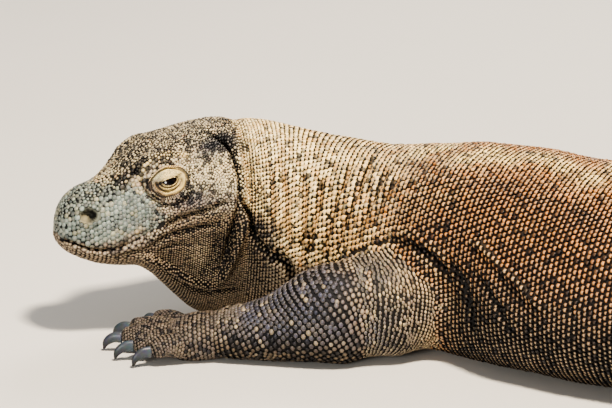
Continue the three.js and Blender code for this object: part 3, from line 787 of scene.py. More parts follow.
def lid_face(tree, eye, phi, t):
    """The lids' outer face: a ball over the eyeball near the slit that turns into the head's own skin;
    above stands a smooth dome with a crease and the brow's rim round it, below lie three folds."""
    u, v = lid_plane(phi, t)
    away = np.hypot(u, v)
    globe = np.sqrt(np.maximum(LID_RADIUS**2 - np.minimum(away, LID_RADIUS - 0.5) ** 2, 0))
    head = head_depth(tree, eye, u, v)
    above = step(-0.3, 0.3, np.sin(phi))
    upper_merge, lower_merge = step(3.5, 12, away), step(6.5, 12.5, away)
    upper = globe * (1 - upper_merge) + (head + 0.4 + 2.4 * step(0.84, 0.55, t)) * upper_merge
    upper = upper + sum(height * bump(t, at, reach) for at, height, reach in UPPER_LID)
    lower = globe * (1 - lower_merge) + (head + 0.4) * lower_merge
    lower = lower + sum(height * bump(t, at, reach) for at, height, reach in LOWER_LID)
    depth = upper * above + lower * (1 - above) - 2.0 * crease_at(u, v) * step(0, 0.1, t)
    return u, v, depth - (0.9 + 1.4 * step(6, 22, u - v)) * step(0.86, 1, t)


def eye_ring(tree, eye):
    """A closed ring of skin: the lids' outer face, an outer wall, a back and an inner face that follows
    the eyeball up to the slit's edge."""
    middle, forward, up, gaze = eye
    columns, rows = LID_GRID
    phi = np.arange(columns) * 2 * math.pi / columns
    t = np.linspace(0, 1, rows)
    phi2, t2 = np.meshgrid(phi, t, indexing="ij")
    u, v, depth = lid_face(tree, eye, phi2, t2)
    edge_u, edge_v = lid_plane(phi2[:, :1], np.zeros((len(phi), 1)))
    profile = [np.stack([u, v, depth], -1)]
    low_u, low_v = lid_plane(phi, np.full(len(phi), 0.985))
    back, (outer_wall, inner_wall) = np.full(len(phi), LID_BACK), LID_WALLS
    profile.append(np.stack([low_u, low_v, back], -1)[:, None])
    profile.append(np.stack([outer_wall * np.cos(phi), outer_wall * np.sin(phi), back], -1)[:, None])
    inner = EYE["radius"] + LID_GAP
    for share in (1.0, 0.75, 0.5, 0.25, 0.0):
        ring_u, ring_v = inner_wall * np.cos(phi), inner_wall * np.sin(phi)
        iu = edge_u[:, 0] * (1 - share) + ring_u * share
        iv = edge_v[:, 0] * (1 - share) + ring_v * share
        profile.append(np.stack([iu, iv, np.sqrt(inner**2 - iu**2 - iv**2)], -1)[:, None])
    shape = np.concatenate(profile, 1)
    points = middle + shape[..., :1] * forward + shape[..., 1:2] * up + shape[..., 2:] * gaze
    n, m = points.shape[:2]
    i, j = np.meshgrid(np.arange(n), np.arange(m), indexing="ij")
    a, b = i * m + j, ((i + 1) % n) * m + j
    c, d = i * m + (j + 1) % m, ((i + 1) % n) * m + (j + 1) % m
    return points.reshape(-1, 3), triangles_of((a, b, d), (a, d, c))


def ball_angles(rows, columns):
    """Angles from a ball's pole and round it, for rows that leave out both poles."""
    from_pole = np.linspace(0, math.pi, rows + 2)[1:-1]
    return np.meshgrid(from_pole, np.arange(columns) * 2 * math.pi / columns, indexing="ij")


def ball(middle, radius):
    """A ball of 24 rows and 48 columns: the sine of the angle from the pole times the cosine and the sine
    of the one round it, and its cosine upwards."""
    lat, lon = ball_angles(24, 48)
    spots = np.stack([np.sin(lat) * np.cos(lon), np.sin(lat) * np.sin(lon), np.cos(lat)], -1)
    return loft(middle + spots * radius, middle + [0, 0, radius], middle - [0, 0, radius])


# ---- One skin ----


def outward(points, faces):
    """Faces turned as one so that the volume they enclose is positive."""
    a, b, c = corners_of(points, faces)
    return faces if (a * np.cross(b, c)).sum() > 0 else faces[:, ::-1]


def combine(base, others, how="UNION"):
    """The base object joined with, or cut by, each of the others, as closed solids."""
    for other in others:
        cut = base.modifiers.new("join", "BOOLEAN")
        cut.operation, cut.object, cut.solver = how, other, "MANIFOLD"
        done = bpy.data.meshes.new_from_object(base.evaluated_get(bpy.context.evaluated_depsgraph_get()))
        base.modifiers.clear()
        old = base.data
        base.data = done
        bpy.data.meshes.remove(old)
        bpy.data.objects.remove(other)
    return base


def arrays_of(obj):
    """An object's points in the animal's frame and its triangles."""
    mesh = obj.data
    mesh.calc_loop_triangles()
    points = np.empty(len(mesh.vertices) * 3)
    mesh.vertices.foreach_get("co", points)
    faces = np.empty(len(mesh.loop_triangles) * 3, np.int32)
    mesh.loop_triangles.foreach_get("vertices", faces)
    return (points.reshape(-1, 3) - SHIFT) * 1000, faces.reshape(-1, 3)


def solid(name, made):
    """A closed object from points and faces, with its faces outwards."""
    points, faces = drop_unused(*made)
    return mesh_object(name, points, outward(points, faces))


def limb_parts():
    """Every limb length as (leg, part, segment, coat depth, rows, columns)."""
    rows = []
    for name, leg in LEGS.items():
        rows.append((name, "upper", leg["upper"], 1.5, 40, 64))
        rows.append((name, "lower", leg["lower"], 1.5, 52, 64))
        rows.append((name, "palm", leg["palm"], 0.9, 22, 56))
        for i, digit in enumerate(leg["digits"]):
            rows.append((name, f"toe_{i + 1}", digit["toe"], 0.7, 18, 26))
    return rows


LIMB_PARTS = limb_parts()


def point_tree(points):
    """A tree that finds the nearest of some points; each keeps its row number."""
    tree = KDTree(len(points))
    for i, p in enumerate(points):
        tree.insert(p, i)
    tree.balance()
    return tree


def soften(points, faces, seeds, reach, rounds):
    """Skin near the seeds relaxed towards the mean of its neighbours, most at the seeds and not at all
    three reaches away."""
    tree = point_tree(seeds)
    close = within(points, seeds.min(0), seeds.max(0), 3 * reach)
    distance = np.full(len(points), FAR_OFF)
    distance[close] = [tree.find(p)[2] for p in points[close]]
    weight = np.exp(-((distance / reach) ** 2))[:, None] * (distance < 3 * reach)[:, None]
    edges = np.unique(np.sort(np.concatenate([faces[:, :2], faces[:, 1:], faces[:, ::2]]), 1), axis=0)
    busy = (weight[edges[:, 0], 0] > 0) | (weight[edges[:, 1], 0] > 0)
    edges = edges[busy]
    ends, starts = np.concatenate([edges[:, 0], edges[:, 1]]), np.concatenate([edges[:, 1], edges[:, 0]])
    count = np.maximum(np.bincount(ends, minlength=len(points)), 1)[:, None]
    for _ in range(rounds):
        mean = np.stack([np.bincount(ends, points[starts, k], len(points)) for k in range(3)], 1) / count
        points = points + weight * 0.6 * (mean - points)
    return points


def near_two(trees, points, tolerance):
    """Points that lie on two of the surfaces at once, which is where they meet."""
    hits = np.zeros(len(points), int)
    for tree, low, high in trees:
        inside = within(points, low, high, 1)
        hits[inside] += [tree.find_nearest(Vector(points[i]), tolerance)[0] is not None for i in inside]
    return points[hits > 1]


def tree_of(points, faces):
    """A tree of faces for nearest places and rays, and the box of its points."""
    return BVHTree.FromPolygons(points.tolist(), faces.tolist()), points.min(0), points.max(0)


HAND_REACH = 75  # a seam this near to the middle of a palm belongs to the hand
ELBOW_REACH = 70  # and one this near to a lower limb's start to the elbow or knee
# How far from its seams each place is softened, and in how many rounds.
SOFTENING = {"body": (8, 20), "elbow": (14, 60), "hand": (3.2, 12), "eye": (1.6, 6)}
EYE_ROOM = 0.3  # the hollow for an eyeball reaches this far beyond it


def build_skin():
    """The body's loft, less the eyeballs' room, with the eye rings and every limb joined on, softened
    where they meet."""
    body_points, body_faces = drop_unused(*body_skin())
    body_faces = outward(body_points, body_faces)
    trees = [tree_of(body_points, body_faces)]
    skin = mesh_object("skin", body_points, body_faces)
    rings = []
    for side, eye in EYES.items():
        points, faces = eye_ring(trees[0][0], eye)
        rings.append(tree_of(points, outward(points, faces)))
        ring = mesh_object(f"ring_{side}", points, outward(points, faces))
        combine(skin, [solid("room", ball(eye[0], EYE["radius"] + EYE_ROOM))], "DIFFERENCE")
        combine(skin, [ring])
    for name in LEGS:
        made = None
        for leg, part, segment, coat, rows, columns in LIMB_PARTS:
            if leg != name:
                continue
            points, faces = limb_skin(segment, rows, columns, coat)
            trees.append(tree_of(points, faces))
            piece = solid(f"{leg}_{part}", (points, faces))
            made = piece if made is None else combine(made, [piece])
        combine(skin, [made])
    points, faces = arrays_of(skin)
    bpy.data.objects.remove(skin)
    seams = near_two(trees, points, 0.02)
    is_hand = np.zeros(len(seams), bool)
    for leg in LEGS.values():
        palm = np.array(leg["palm"]["points"][1], float)
        is_hand |= np.linalg.norm(seams - palm, axis=1) < HAND_REACH
    elbows = [np.array(leg["lower"]["points"][0], float) for leg in LEGS.values()]
    is_elbow = np.min([np.linalg.norm(seams - e, axis=1) for e in elbows], 0) < ELBOW_REACH
    points = soften(points, faces, seams[~is_hand & ~is_elbow], *SOFTENING["body"])
    points = soften(points, faces, seams[is_elbow], *SOFTENING["elbow"])
    points = soften(points, faces, seams[is_hand], *SOFTENING["hand"])
    points = soften(points, faces, near_two([trees[0], *rings], points, 0.03), *SOFTENING["eye"])
    points[:, 2] = np.maximum(points[:, 2], FLOOR_SKIN)
    return points, faces


skin_points, skin_faces = build_skin()


def vertex_normals(points, faces):
    """Normals at points: the sum of the cross products of the faces that meet there, made unit."""
    a, b, c = corners_of(points, faces)
    normal = np.cross(b - a, c - a)
    corners = faces.ravel()
    total = [np.bincount(corners, np.repeat(normal[:, k], 3), len(points)) for k in range(3)]
    return unit(np.stack(total, 1))


skin_normals = vertex_normals(skin_points, skin_faces)
skin_tree = tree_of(skin_points, skin_faces)[0]


def settle(points):
    """The nearest places of the finished skin, with its smooth normals there and how far away it was."""
    found = [skin_tree.find_nearest(Vector(p)) for p in points]
    spot = np.array([f[0] for f in found])
    face = skin_faces[[f[2] for f in found]]
    gap = np.array([f[3] for f in found])
    a, b, c = corners_of(skin_points, face)
    whole = np.linalg.norm(np.cross(b - a, c - a), axis=1) + 1e-9
    share = np.stack([
        np.linalg.norm(np.cross(b - spot, c - spot), axis=1) / whole,
        np.linalg.norm(np.cross(c - spot, a - spot), axis=1) / whole,
        np.linalg.norm(np.cross(a - spot, b - spot), axis=1) / whole,
    ], 1)
    return spot, unit((skin_normals[face] * share[..., None]).sum(1)), gap


# ---- Markings: the same on the skin and on the scales ----

# Pale marks over the back: distance from the snout, level, reach along and around.
MOTTLES = [
    (396, 84, 12, 7), (420, 92, 10, 8), (452, 78, 12, 7), (474, 86, 13, 9), (498, 82, 12, 6),
    (524, 91, 22, 8), (556, 84, 15, 6), (592, 80, 16, 7), (606, 98, 14, 8), (640, 86, 18, 8),
    (676, 100, 16, 9), (706, 82, 18, 8), (742, 92, 18, 10), (786, 84, 16, 9), (826, 96, 20, 9),
    (870, 84, 18, 9), (914, 94, 18, 10), (962, 86, 20, 9), (1010, 96, 20, 10), (1070, 88, 24, 12),
]


def markings(s, degrees, leg, reach, points, sunk):
    """Shares of each colour at places of the animal, 0 to 1: chalk, cream, ochre, slate and umber; how
    many scales there are inky or rusty; how far a scale's rim is pale; and edge, how much of a scale the
    dark round its foot takes. s and degrees place a point on the body; leg is 0 on the body, 1 on an
    upper limb, 2 on a lower one and 3 on a foot; reach is the share of the way along that length of
    limb; sunk is the skin's relief there in mm."""
    level = level_of(degrees)
    body, upper, lower, foot = ((leg == k).astype(float) for k in range(4))
    x, y, z = points.T
    thigh = upper * step(450, 600, x)
    wander = np.sin(x / 23 + 2 * np.sin(z / 31)) * np.sin(y / 27 + z / 19 + 1.7)
    fine = np.sin(x / 7.3 + 3 * np.sin(y / 17)) * np.sin(z / 6.1 + y / 9.7)
    # Furrows of the skin are darker, partly their darker skin and partly painted shade; ridges of its folds
    # are paler, painted highlight.
    furrow_shade, ridge = step(-0.3, -2.4, sunk), step(0.8, 2.4, sunk)
    crescent = body * step(3.6, 1.8, line_distance(points, {"orbit"})) * step(116, 100, s)
    head = body * step(206, 176, s)
    jaw = body * step(1, -5, level) * step(262, 214, s)
    lip = body * step(118, 80, s) * step(-18, -12, level) * step(2, -3, level)
    limit = np.interp(s, [0, 34, 46, 62, 76, 90, 104, 120], [110, 96, 70, 52, 38, 24, 12, 0])
    mouth = np.interp(s, [3, 14, 28, 48, 62, 80], [3, 1, -2, -2, 0, 1])
    snout = body * step(15, -13, level - limit + 8 * wander) * step(-1.5, 0.5, level - mouth)
    snout = snout * step(128, 90, s)
    rim_band = body * step(-3, -1, level) * step(6, 3, level) * step(96, 70, s)
    bridge = body * step(80, 50, s) * step(40, 62, level)
    dusk = body * bump(s, 132, 26) * bump(level, 8, 9)
    streak = body * bump(s, 152, 20) * bump(level, 43, 7)
    cheek = head * step(112, 134, s) * step(4, 14, level) * step(50, 40, level)
    crown = head * step(40, 54, level) * (1 - 0.5 * bridge)
    neck = body * step(180, 205, s) * step(440, 320, s) * step(-28, -8, level)
    trunk = body * step(350, 440, s)
    tail = body * step(1100, 1450, s)
    # The trunk's low sides: browner, partly their own colour and partly painted shade under the body.
    low = body * step(30, -16, level) * step(380, 520, s) * step(1500, 1150, s)
    ochre = body * (0.08 + 0.42 * step(225, 340, s) + 0.4 * step(340, 430, s)) * step(195, 240, s)
    ochre += 0.3 * neck * step(34, 6, level) * step(214, 240, s)
    ochre = ochre * (1 - 0.55 * step(1020, 1500, s)) * (1 - 0.2 * low)
    # The ridges of the jaw's folds are paler: painted highlight.
    cream = crown * (0.55 + 0.25 * fine) + cheek * 0.68 + 0.45 * jaw * ridge
    cream += neck * (0.92 - 0.5 * step(280, 400, s)) + 0.2 * bridge
    turned = from_left(degrees)
    yellow = 0.25 * neck + 0.12 * crown
    for at, lv, along, around in MOTTLES:
        yellow += body * 0.45 * bump(s, at, along) * bump(turned, lv, around)
        cream += body * 0.85 * bump(s, at, along) * bump(turned, lv, around)
    cream += trunk * 0.12 * step(35, 80, level) * step(1400, 1000, s)
    # The ridges of the folds on the neck and shoulder are paler: painted highlight.
    cream += body * 0.4 * ridge * step(640, 540, s) * step(186, 200, s)
    cream += body * 0.35 * step(540, 380, s) * step(300, 380, s) * step(0, 50, level)
    cream += body * 0.35 * bump(s, 470, 50) * bump(level, -8, 14)
    # Browner on the trunk's low sides: partly their colour, partly painted shade.
    umber = 0.3 * dusk + jaw * (1 - 0.45 * lip) + 0.95 * low + 0.55 * rim_band + 0.2 * crown
    umber += tail * step(6, -30, level) * 0.5
    bands = 0.5 + 0.5 * np.sin(s / 34 + 0.4 * wander)
    umber += tail * 0.55 * bands * step(-20, 30, level)
    temple = body * bump(s, 166, 24) * bump(level, 54, 10)
    brow = body * step(3.4, 1.8, line_distance(points, {"brow rim"}))
    ochre, yellow = ochre + 0.3 * brow, yellow + 0.4 * brow
    slate = 0.7 * dusk + 0.4 * streak + 0.4 * temple + 0.12 * crown + 0.25 * (lip + rim_band)
    slate += 0.3 * crown * step(110, 160, s) * step(78, 55, level)
    inner = step(0.44, 0.86, reach - 0.08 * wander)
    slate += upper * (0.12 + 0.6 * inner) + foot * 0.6
    outer = lower * step(0.05, 0.42, reach - 0.08 * wander)
    slate = slate + lower * 0.4 + outer * 0.55 - lower * 0.25 * step(0.7, 1, reach) + foot * 0.15
    # Forearms darker towards the floor: painted shade.
    umber += foot * 0.62 + 0.7 * lower * step(40, 10, z) + 0.2 * thigh
    umber += lower * 0.4 * step(0.7, 1, reach) + 0.12 * outer
    ochre += upper * 0.6 * (1 - inner) + (lower - outer) * 0.3 + lower * 0.1 + foot * 0.1
    cream += upper * 0.55 * (1 - 0.7 * inner) + (lower - outer) * 0.3 + lower * 0.08 + foot * 0.12
    # Limbs darker near the floor: painted shade; the skin darker in its furrows, partly darker skin and
    # partly painted shade.
    umber += (leg > 0) * 0.7 * step(34, 8, z) * step(3, 1, leg) + 0.6 * furrow_shade * (1 - 0.5 * neck)
    # Furrows of the neck are browner and less cream: partly their darker skin, partly painted shade.
    ochre += 0.5 * thigh + 0.4 * furrow_shade * neck
    cream = cream * (1 - 0.8 * thigh) * (1 - 0.6 * furrow_shade * neck)
    # The lore before the eye gets more black scales: painted shade.
    lore_shade = head * (1 - snout) * step(122, 100, s) * step(4, 14, level) * step(62, 46, level)
    # A painted pool of light on the throat: less brown and paler.
    painted_throat_light = jaw * bump(s, 146, 16) * bump(level, -29, 10)
    # Painted shade in the throat's hollow: a little browner.
    hollow = jaw * bump(s, 160, 9) * bump(level, -24, 12)
    umber = np.clip(umber, 0, 1) * (1 - 0.6 * painted_throat_light) + 0.15 * hollow
    cream += 0.3 * painted_throat_light
    inky = 0.03 + 0.2 * temple + 0.38 * crown * (1 - brow) * step(30, 95, s) + 0.4 * streak + 0.35 * dusk
    # Black scales in the crescent under the eye, and more in the lore's painted shade.
    inky += 0.9 * crescent + 0.3 * lore_shade
    # More black scales on the forearm near the floor: painted shade.
    inky += 0.1 * cheek + 0.12 * foot + 0.3 * lower * step(44, 16, z)
    inky += 0.06 * neck * (1 - trunk) + trunk * (0.04 + 0.06 * step(50, 20, level))
    # More black scales in furrows off the neck: partly darker skin, partly painted shade.
    inky += 0.12 * furrow_shade * body * (1 - neck)
    rusty = neck * (0.32 + 0.3 * step(52, 20, level)) + trunk * 0.22 + 0.05 * crown
    rim = outer * 0.22 + (upper - thigh) * (0.2 + 0.25 * inner) + foot * 0.15
    # The dark round each scale's foot is wider where shade is painted: on the trunk's low sides, on the
    # forearm near the floor and in furrows.
    edge = 0.3 + 0.24 * trunk - 0.22 * trunk * step(50, 76, level) + 0.28 * crown + 0.2 * jaw + 0.08 * low
    edge += 0.2 * thigh + 0.18 * foot + lower * (0.2 + 0.14 * step(44, 16, z)) + 0.12 * upper * inner
    edge = edge + 0.04 * snout - 0.02 * lower + 0.24 * cheek + 0.34 * furrow_shade * (body - 0.5 * jaw)
    edge = edge - 0.06 * neck * (1 - trunk) - 0.2 * lip
    chalk = snout * (1 - dusk) * (1 - 0.6 * rim_band) + 0.26 * cheek + 0.16 * crown + 0.2 * bridge
    inky += 0.5 * body * bump(s, 80, 10) * bump(level, 50, 6)
    made = {
        "chalk": chalk, "yellow": yellow, "cream": cream + 0.12 * wander,
        "ochre": ochre + 0.14 * wander * body, "slate": slate + 0.12 * fine * (leg > 0), "umber": umber,
        "inky": inky, "rusty": rusty, "rim": rim, "edge": edge,
    }
    return {key: np.clip(value, 0, 1) for key, value in made.items()}


# ---- Scales ----


def spaced(density, around, count, shift):
    """Angles that share a ring's run of density evenly between count scales, from a shifted start."""
    run = np.concatenate([[0], np.cumsum(density)])
    want = (np.arange(count) + shift) * run[-1] / count
    return np.interp(np.mod(want, run[-1]), run, around)


def ring_scales(surface, rows, pitch, hold=0.07):
    """Scales set in rings round a surface: each ring holds as many as its length over the pitch gives,
    kept from row to row until it is off by the share hold, and each row starts half a scale on."""
    around = np.linspace(0, 360, 361)
    places, count = [], 0
    for i, at in enumerate(rows):
        ring = surface(np.full(361, at), around)
        size = pitch(at, (around[1:] + around[:-1]) / 2)
        density = np.linalg.norm(np.diff(ring, axis=0), axis=1) / size
        wanted = density.sum()
        if count == 0 or abs(wanted / count - 1) > hold:
            count = max(int(round(wanted)), 4)
        degrees = spaced(density, around, count, 0.5 * (i % 2))
        places.append(np.stack([np.full(count, at), degrees, np.full(count, wanted / count)], 1))
    return np.concatenate(places)


def bead(sides, shoulder, flat, dot):
    """One scale: a many-sided foot sunk in the skin, a ring near the top and the tip. Columns are along,
    across, height and crown, which is 0 at the foot and 1 at the tip; dot lowers it at the rear corner."""
    angle = np.arange(sides) * 2 * math.pi / sides
    rear = step(0.5, 1, np.cos(angle))
    foot = np.stack([np.cos(angle), np.sin(angle), np.full(sides, -0.4), np.zeros(sides)], 1)
    ring = np.stack([np.cos(angle) * shoulder, np.sin(angle) * shoulder, np.full(sides, flat),
                     0.62 - 0.08 * np.cos(angle) - dot * rear], 1)
    rows = np.concatenate([foot, ring, [[0, 0, 1, 1]]])
    i = np.arange(sides)
    j = (i + 1) % sides
    return rows, triangles_of((0, i[2:], i[1:-1]), (i, j, sides + j), (i, sides + j, sides + i),
                              (sides + i, sides + j, 2 * sides))


BAKE_PATCH = 0.0015  # half the width of a scale's patch on the bake map
TOUCH = 0.02  # the lowest scales lie this far over the floor


def coat(name, spots, normals, along, size, look, grain, uv, sides=6, shoulder=0.74, flat=0.72, tilt=0.0,
         dot=0.0):
    """A coat piece: the bead repeated at every spot. size columns are half length, half width and
    height; tilt lifts the rear edge, so that scales overlap like tiles."""
    rows, faces = bead(sides, shoulder, flat, dot)
    ahead = unit(along - normals * (along * normals).sum(1, keepdims=True))
    across = np.cross(normals, ahead)
    template = rows[None, :, :]
    lean = size[:, 2:3] * tilt * template[..., 0]
    local = (
        ahead[:, None] * (size[:, 0:1] * template[..., 0])[..., None]
        + across[:, None] * (size[:, 1:2] * template[..., 1])[..., None]
        + normals[:, None] * (size[:, 2:3] * template[..., 2] + lean)[..., None]
    )
    points = (spots[:, None] + local).reshape(-1, 3)
    points[:, 2] = np.maximum(points[:, 2], TOUCH)
    triangles = (np.arange(len(spots))[:, None, None] * len(rows) + faces[None]).reshape(-1, 3)
    patch = uv[:, None] + rows[None, :, :2] * BAKE_PATCH
    values = {key: np.repeat(value, len(rows)) for key, value in look.items()}
    values["grain"] = np.repeat(grain, len(rows))
    values["crown"] = np.tile(rows[:, 3], len(spots))
    return mesh_object(name, points, triangles, values, patch.reshape(-1, 2))


def plated(s, level):
    """Where the head bears plates, 1, and where granules, 0: the snout's sides and lips."""
    return step(100, 66, s - 0.4 * level) * step(56, 42, level) * step(-14, -6, level)


def body_pitch(s, degrees):
    """Width of a scale round the body: plates on the snout, granules on the cheek, narrow ones on the
    throat, beads on the neck and trunk, wide ones under the belly."""
    level = level_of(degrees)
    head = 3.5 + 1.5 * plated(s, level) + 0.4 * step(30, 50, level)
    head = head - 0.3 * bump(s, 152, 28) * bump(level, 22, 18) - 0.9 * step(-4, -14, level) * step(30, 80, s)
    neck = curve([190, 230, 300, 450, 600, 1150, 1600, 2200, 2500],
                 [3.6, 5.3, 6.0, 5.9, 5.8, 6.3, 6.2, 5.0, 3.4], np.clip(s, 190, LENGTH))
    share = step(182, 214, s)
    pitch = head * (1 - share) + neck * share
    pitch = pitch * (1 - 0.14 * step(26, -6, level) * step(390, 460, s) * step(1500, 1150, s))
    return pitch * (1 + 0.5 * step(-35, -60, level) * step(300, 450, s))


def body_row_spacing(s):
    """Distance from one ring of scales to the next along the body."""
    return curve([0, 60, 100, 190, 240, 300, 450, 600, 1150, 1600, 2200, 2500],
                 [4.2, 4.0, 2.9, 2.9, 4.8, 5.4, 5.2, 5.0, 5.4, 5.8, 4.8, 3.4], s)


def walk(start, end, spacing):
    """Places from start to end, each a spacing after the last."""
    places = [start]
    while places[-1] < end:
        places.append(places[-1] + float(spacing(places[-1])))
    return np.array(places[:-1])


def gather_body():
    """Places and pitches of the body's scales, a little scattered, most on the head away from its
    plates and jaw."""
    rows = walk(1.5, LENGTH - 2, body_row_spacing)
    places = ring_scales(body_surface, rows, body_pitch)
    s, degrees, loose = places.T
    pitch = body_pitch(s, degrees) * loose
    spacing = body_row_spacing(s)
    level = level_of(degrees)
    rough = 0.05 + 0.2 * step(205, 180, s) * step(-12, -2, level) * (1 - 0.7 * plated(s, level))
    s = s + dice.normal(0, 1, len(s)) * spacing * rough
    s = np.clip(s, 0.8, LENGTH - 1)
    degrees = np.mod(degrees + dice.normal(0, 1, len(s)) * rough * pitch * 60 / 70, 360)
    return {"s": s, "degrees": degrees, "pitch": pitch, "spacing": spacing}


def body_scales():
    """Roots, directions and sizes of the body's scales, before they are set on the skin."""
    made = gather_body()
    s, degrees = made["s"], made["degrees"]
    depth = coat_depth(s)
    here = body_surface(s, degrees, depth)
    ahead = body_surface(np.minimum(s + 1, LENGTH), degrees, depth) - here
    around = body_surface(s, np.mod(degrees + 1, 360), depth) - here
    normal = unit(np.cross(ahead, around))
    made["sunk"] = relief(here) * step(0, 6, s)
    made["root"] = here + normal * made["sunk"][:, None]
    made["along"] = unit(ahead)
    made["leg"] = np.zeros(len(s), int)
    made["reach"] = np.zeros(len(s))
    made["loft"] = np.zeros(len(s), int)
    made["depth"] = depth
    return made


def limb_scales(index, part, segment, depth):
    """Roots, directions and sizes of the scales on one length of limb."""
    length = limb_length(segment)[-1]
    toe = part.startswith("toe")
    kind = 3 if toe or part == "palm" else {"upper": 1, "lower": 2}[part]

    def size_at(x):
        """Width of a scale at a distance along the limb."""
        share = x / length
        if toe:
            return 4.0 - 0.8 * share
        if part == "palm":
            return 4.6
        if part == "upper":
            return 2.9 + 1.7 * step(0.4, 0.8, share)
        return 5.0 + 0.9 * step(0, 0.3, share) - 1.2 * step(0.6, 1, share)

    def pitch_at(x, degrees):
        """The same, wider over the top of an upper limb."""
        high = (part == "upper") * step(0.3, 0.9, np.sin(np.radians(degrees)))
        return size_at(x) * (1 + 0.45 * high)

    row = {"upper": 0.84, "lower": 1.06}.get(part, 0.86)
    rows = walk(1.2, length - 0.6, lambda x: size_at(x) * row)
    places = ring_scales(lambda x, a: limb_surface(segment, x, a, depth), rows, pitch_at, 0.12)
    x, degrees, loose = places.T
    pitch = pitch_at(x, degrees) * loose
    spacing = np.array([size_at(v) for v in x]) * row
    # The rings of the forearm lean towards the hand, those of the upper arm away from it.
    lean = {"lower": 20, "upper": -14}.get(part, 0) * step(1, 0.6, x / length)
    x = x + dice.normal(0, 0.05, len(x)) * pitch + lean * np.sin(np.radians(degrees))
    kept = (x > 0.3) & (x < length - 0.1)
    x, degrees, pitch, spacing = np.minimum(x[kept], length - 0.3), degrees[kept], pitch[kept], spacing[kept]
    here = limb_surface(segment, x, degrees, depth)
    ahead = limb_surface(segment, np.minimum(x + 1, length), degrees, depth) - limb_surface(
        segment, np.maximum(x - 1, 0), degrees, depth)
    around = limb_surface(segment, x, degrees + 1, depth) - here
    normal = unit(np.cross(ahead, around))
    sunk = relief(here)
    return {
        "s": x, "degrees": degrees, "pitch": pitch, "spacing": spacing, "sunk": sunk,
        "root": here + normal * sunk[:, None], "along": unit(ahead),
        "leg": np.full(len(x), kind), "reach": x / length, "loft": np.full(len(x), index + 1),
        "depth": np.full(len(x), depth),
    }


PUSHES = 7
NEIGHBOURS = 8  # of a scale, itself among them, that may push it
PUSH_SHARE = 0.3  # of the way out, at each push


def space_out(made, gap):
    """The irregular scales of the head, and those drawn together where two parts meet, moved apart: each
    goes a share of the way out of any neighbour nearer than their mean pitch, then back to the skin,
    several times over."""
    level = level_of(made["degrees"])
    head = (made["loft"] == 0) * step(203, 194, made["s"]) * step(-8, -2, level)
    free_all = np.maximum(head, step(0.2, 1.0, gap))
    moved = np.flatnonzero(free_all > 0)
    free, of_head = free_all[moved], head[moved]
    spot, pitch = made["spot"][moved], made["pitch"][moved]
    plate = plated(made["s"][moved], level[moved])
    pitch = pitch * (1 + (0.16 - 0.1 * plate) * of_head * dice.normal(0, 1, len(moved)).clip(-1.6, 1.6))
    made["pitch"][moved] = pitch
    made["spacing"][moved] = np.where(of_head > 0, pitch, made["spacing"][moved])
    for _ in range(PUSHES):
        tree = point_tree(spot)
        near = np.array([[j for _, j, _ in tree.find_n(p, NEIGHBOURS)] for p in spot])[:, 1:]
        away = spot[:, None] - spot[near]
        gaps = np.linalg.norm(away, axis=-1)
        want = (pitch[:, None] + pitch[near]) / 2
        push = np.clip(want - gaps, 0, None) / np.maximum(gaps, 0.05)
        spot = spot + (away * push[..., None]).sum(1) * PUSH_SHARE * free[:, None]
        spot, normal, _ = settle(spot)
    made["spot"][moved], made["normal"][moved] = spot, normal
    turn = dice.normal(0, 1, len(moved)) * of_head
    along = made["along"][moved]
    sideways = np.cross(normal, along)
    made["along"][moved] = unit(along * np.cos(turn)[:, None] + sideways * np.sin(turn)[:, None])


SEATED = 0.25  # a scale root this near to the skin lies on its own part's surface
SOFT_SEAM = 12.0  # the softened seams moved the skin by up to this much


def one_of_each(made, gap):
    """Which scales stay where parts meet: the one nearer to its own part's surface of any two that would
    overlap."""
    tree = point_tree(made["spot"])
    stays = np.ones(len(gap), bool)
    loose = np.flatnonzero(gap > SEATED)
    for i in loose[np.argsort(-gap[loose])]:
        for _, j, _ in tree.find_range(made["spot"][i], 0.74 * made["pitch"][i]):
            if j != i and stays[j] and gap[j] <= gap[i]:
                stays[i] = False
                break
    return stays


def kept_bare(points):
    """Skin that no scale covers: the lids, the nostrils, the line of the mouth and the deepest folds."""
    bare = ring_distance(points) < 0.97
    bare |= nostril_distance(points) < 1.42
    bare |= line_distance(points, {"mouth"}) < 2.6
    bare |= line_distance(points, DEEP_FOLDS) < 3.0
    return bare


def fill_gaps(made, gap):
    """More scales on any skin further than most of a pitch from every root, copied from the nearest one."""
    tree = point_tree(made["spot"])
    a, b, c = corners_of(skin_points, skin_faces)
    middle = (a + b + c) / 3
    area = np.linalg.norm(np.cross(b - a, c - a), axis=1) / 2
    limb = np.flatnonzero(area > 2)
    limb = limb[[made["leg"][tree.find(p)[1]] > 0 for p in middle[limb]]]
    more = np.repeat(limb, np.minimum(area[limb] / 1.3, 40).astype(int))
    share = dice.dirichlet((1, 1, 1), len(more))
    spots = np.concatenate([skin_points, middle,
                            a[more] * share[:, :1] + b[more] * share[:, 1:2] + c[more] * share[:, 2:]])
    spots = spots[spots[:, 2] > 4]
    nearest = np.array([tree.find(p)[1:] for p in spots])
    source = nearest[:, 0].astype(int)
    size = np.minimum(made["pitch"], 1.1 * made["spacing"])[source]
    open_ = (nearest[:, 1] > 0.79 * size) & ~kept_bare(spots)
    spots, source, size_of = spots[open_], source[open_], size[open_]
    chosen = []
    taken = np.empty((0, 3))
    for i in np.argsort(spots @ [1.0, 0.37, 0.11]):
        if len(taken) == 0 or ((taken - spots[i]) ** 2).sum(1).min() > (0.8 * size_of[i]) ** 2:
            chosen.append(i)
            taken = np.vstack([taken, spots[i]])
    chosen = np.array(chosen, int)
    fresh = pick(made, source[chosen])
    fresh["spot"], fresh["normal"], _ = settle(spots[chosen])
    grown = {key: np.concatenate([value, fresh[key]]) for key, value in made.items()}
    return grown, np.concatenate([gap, np.full(len(chosen), 1.0)])


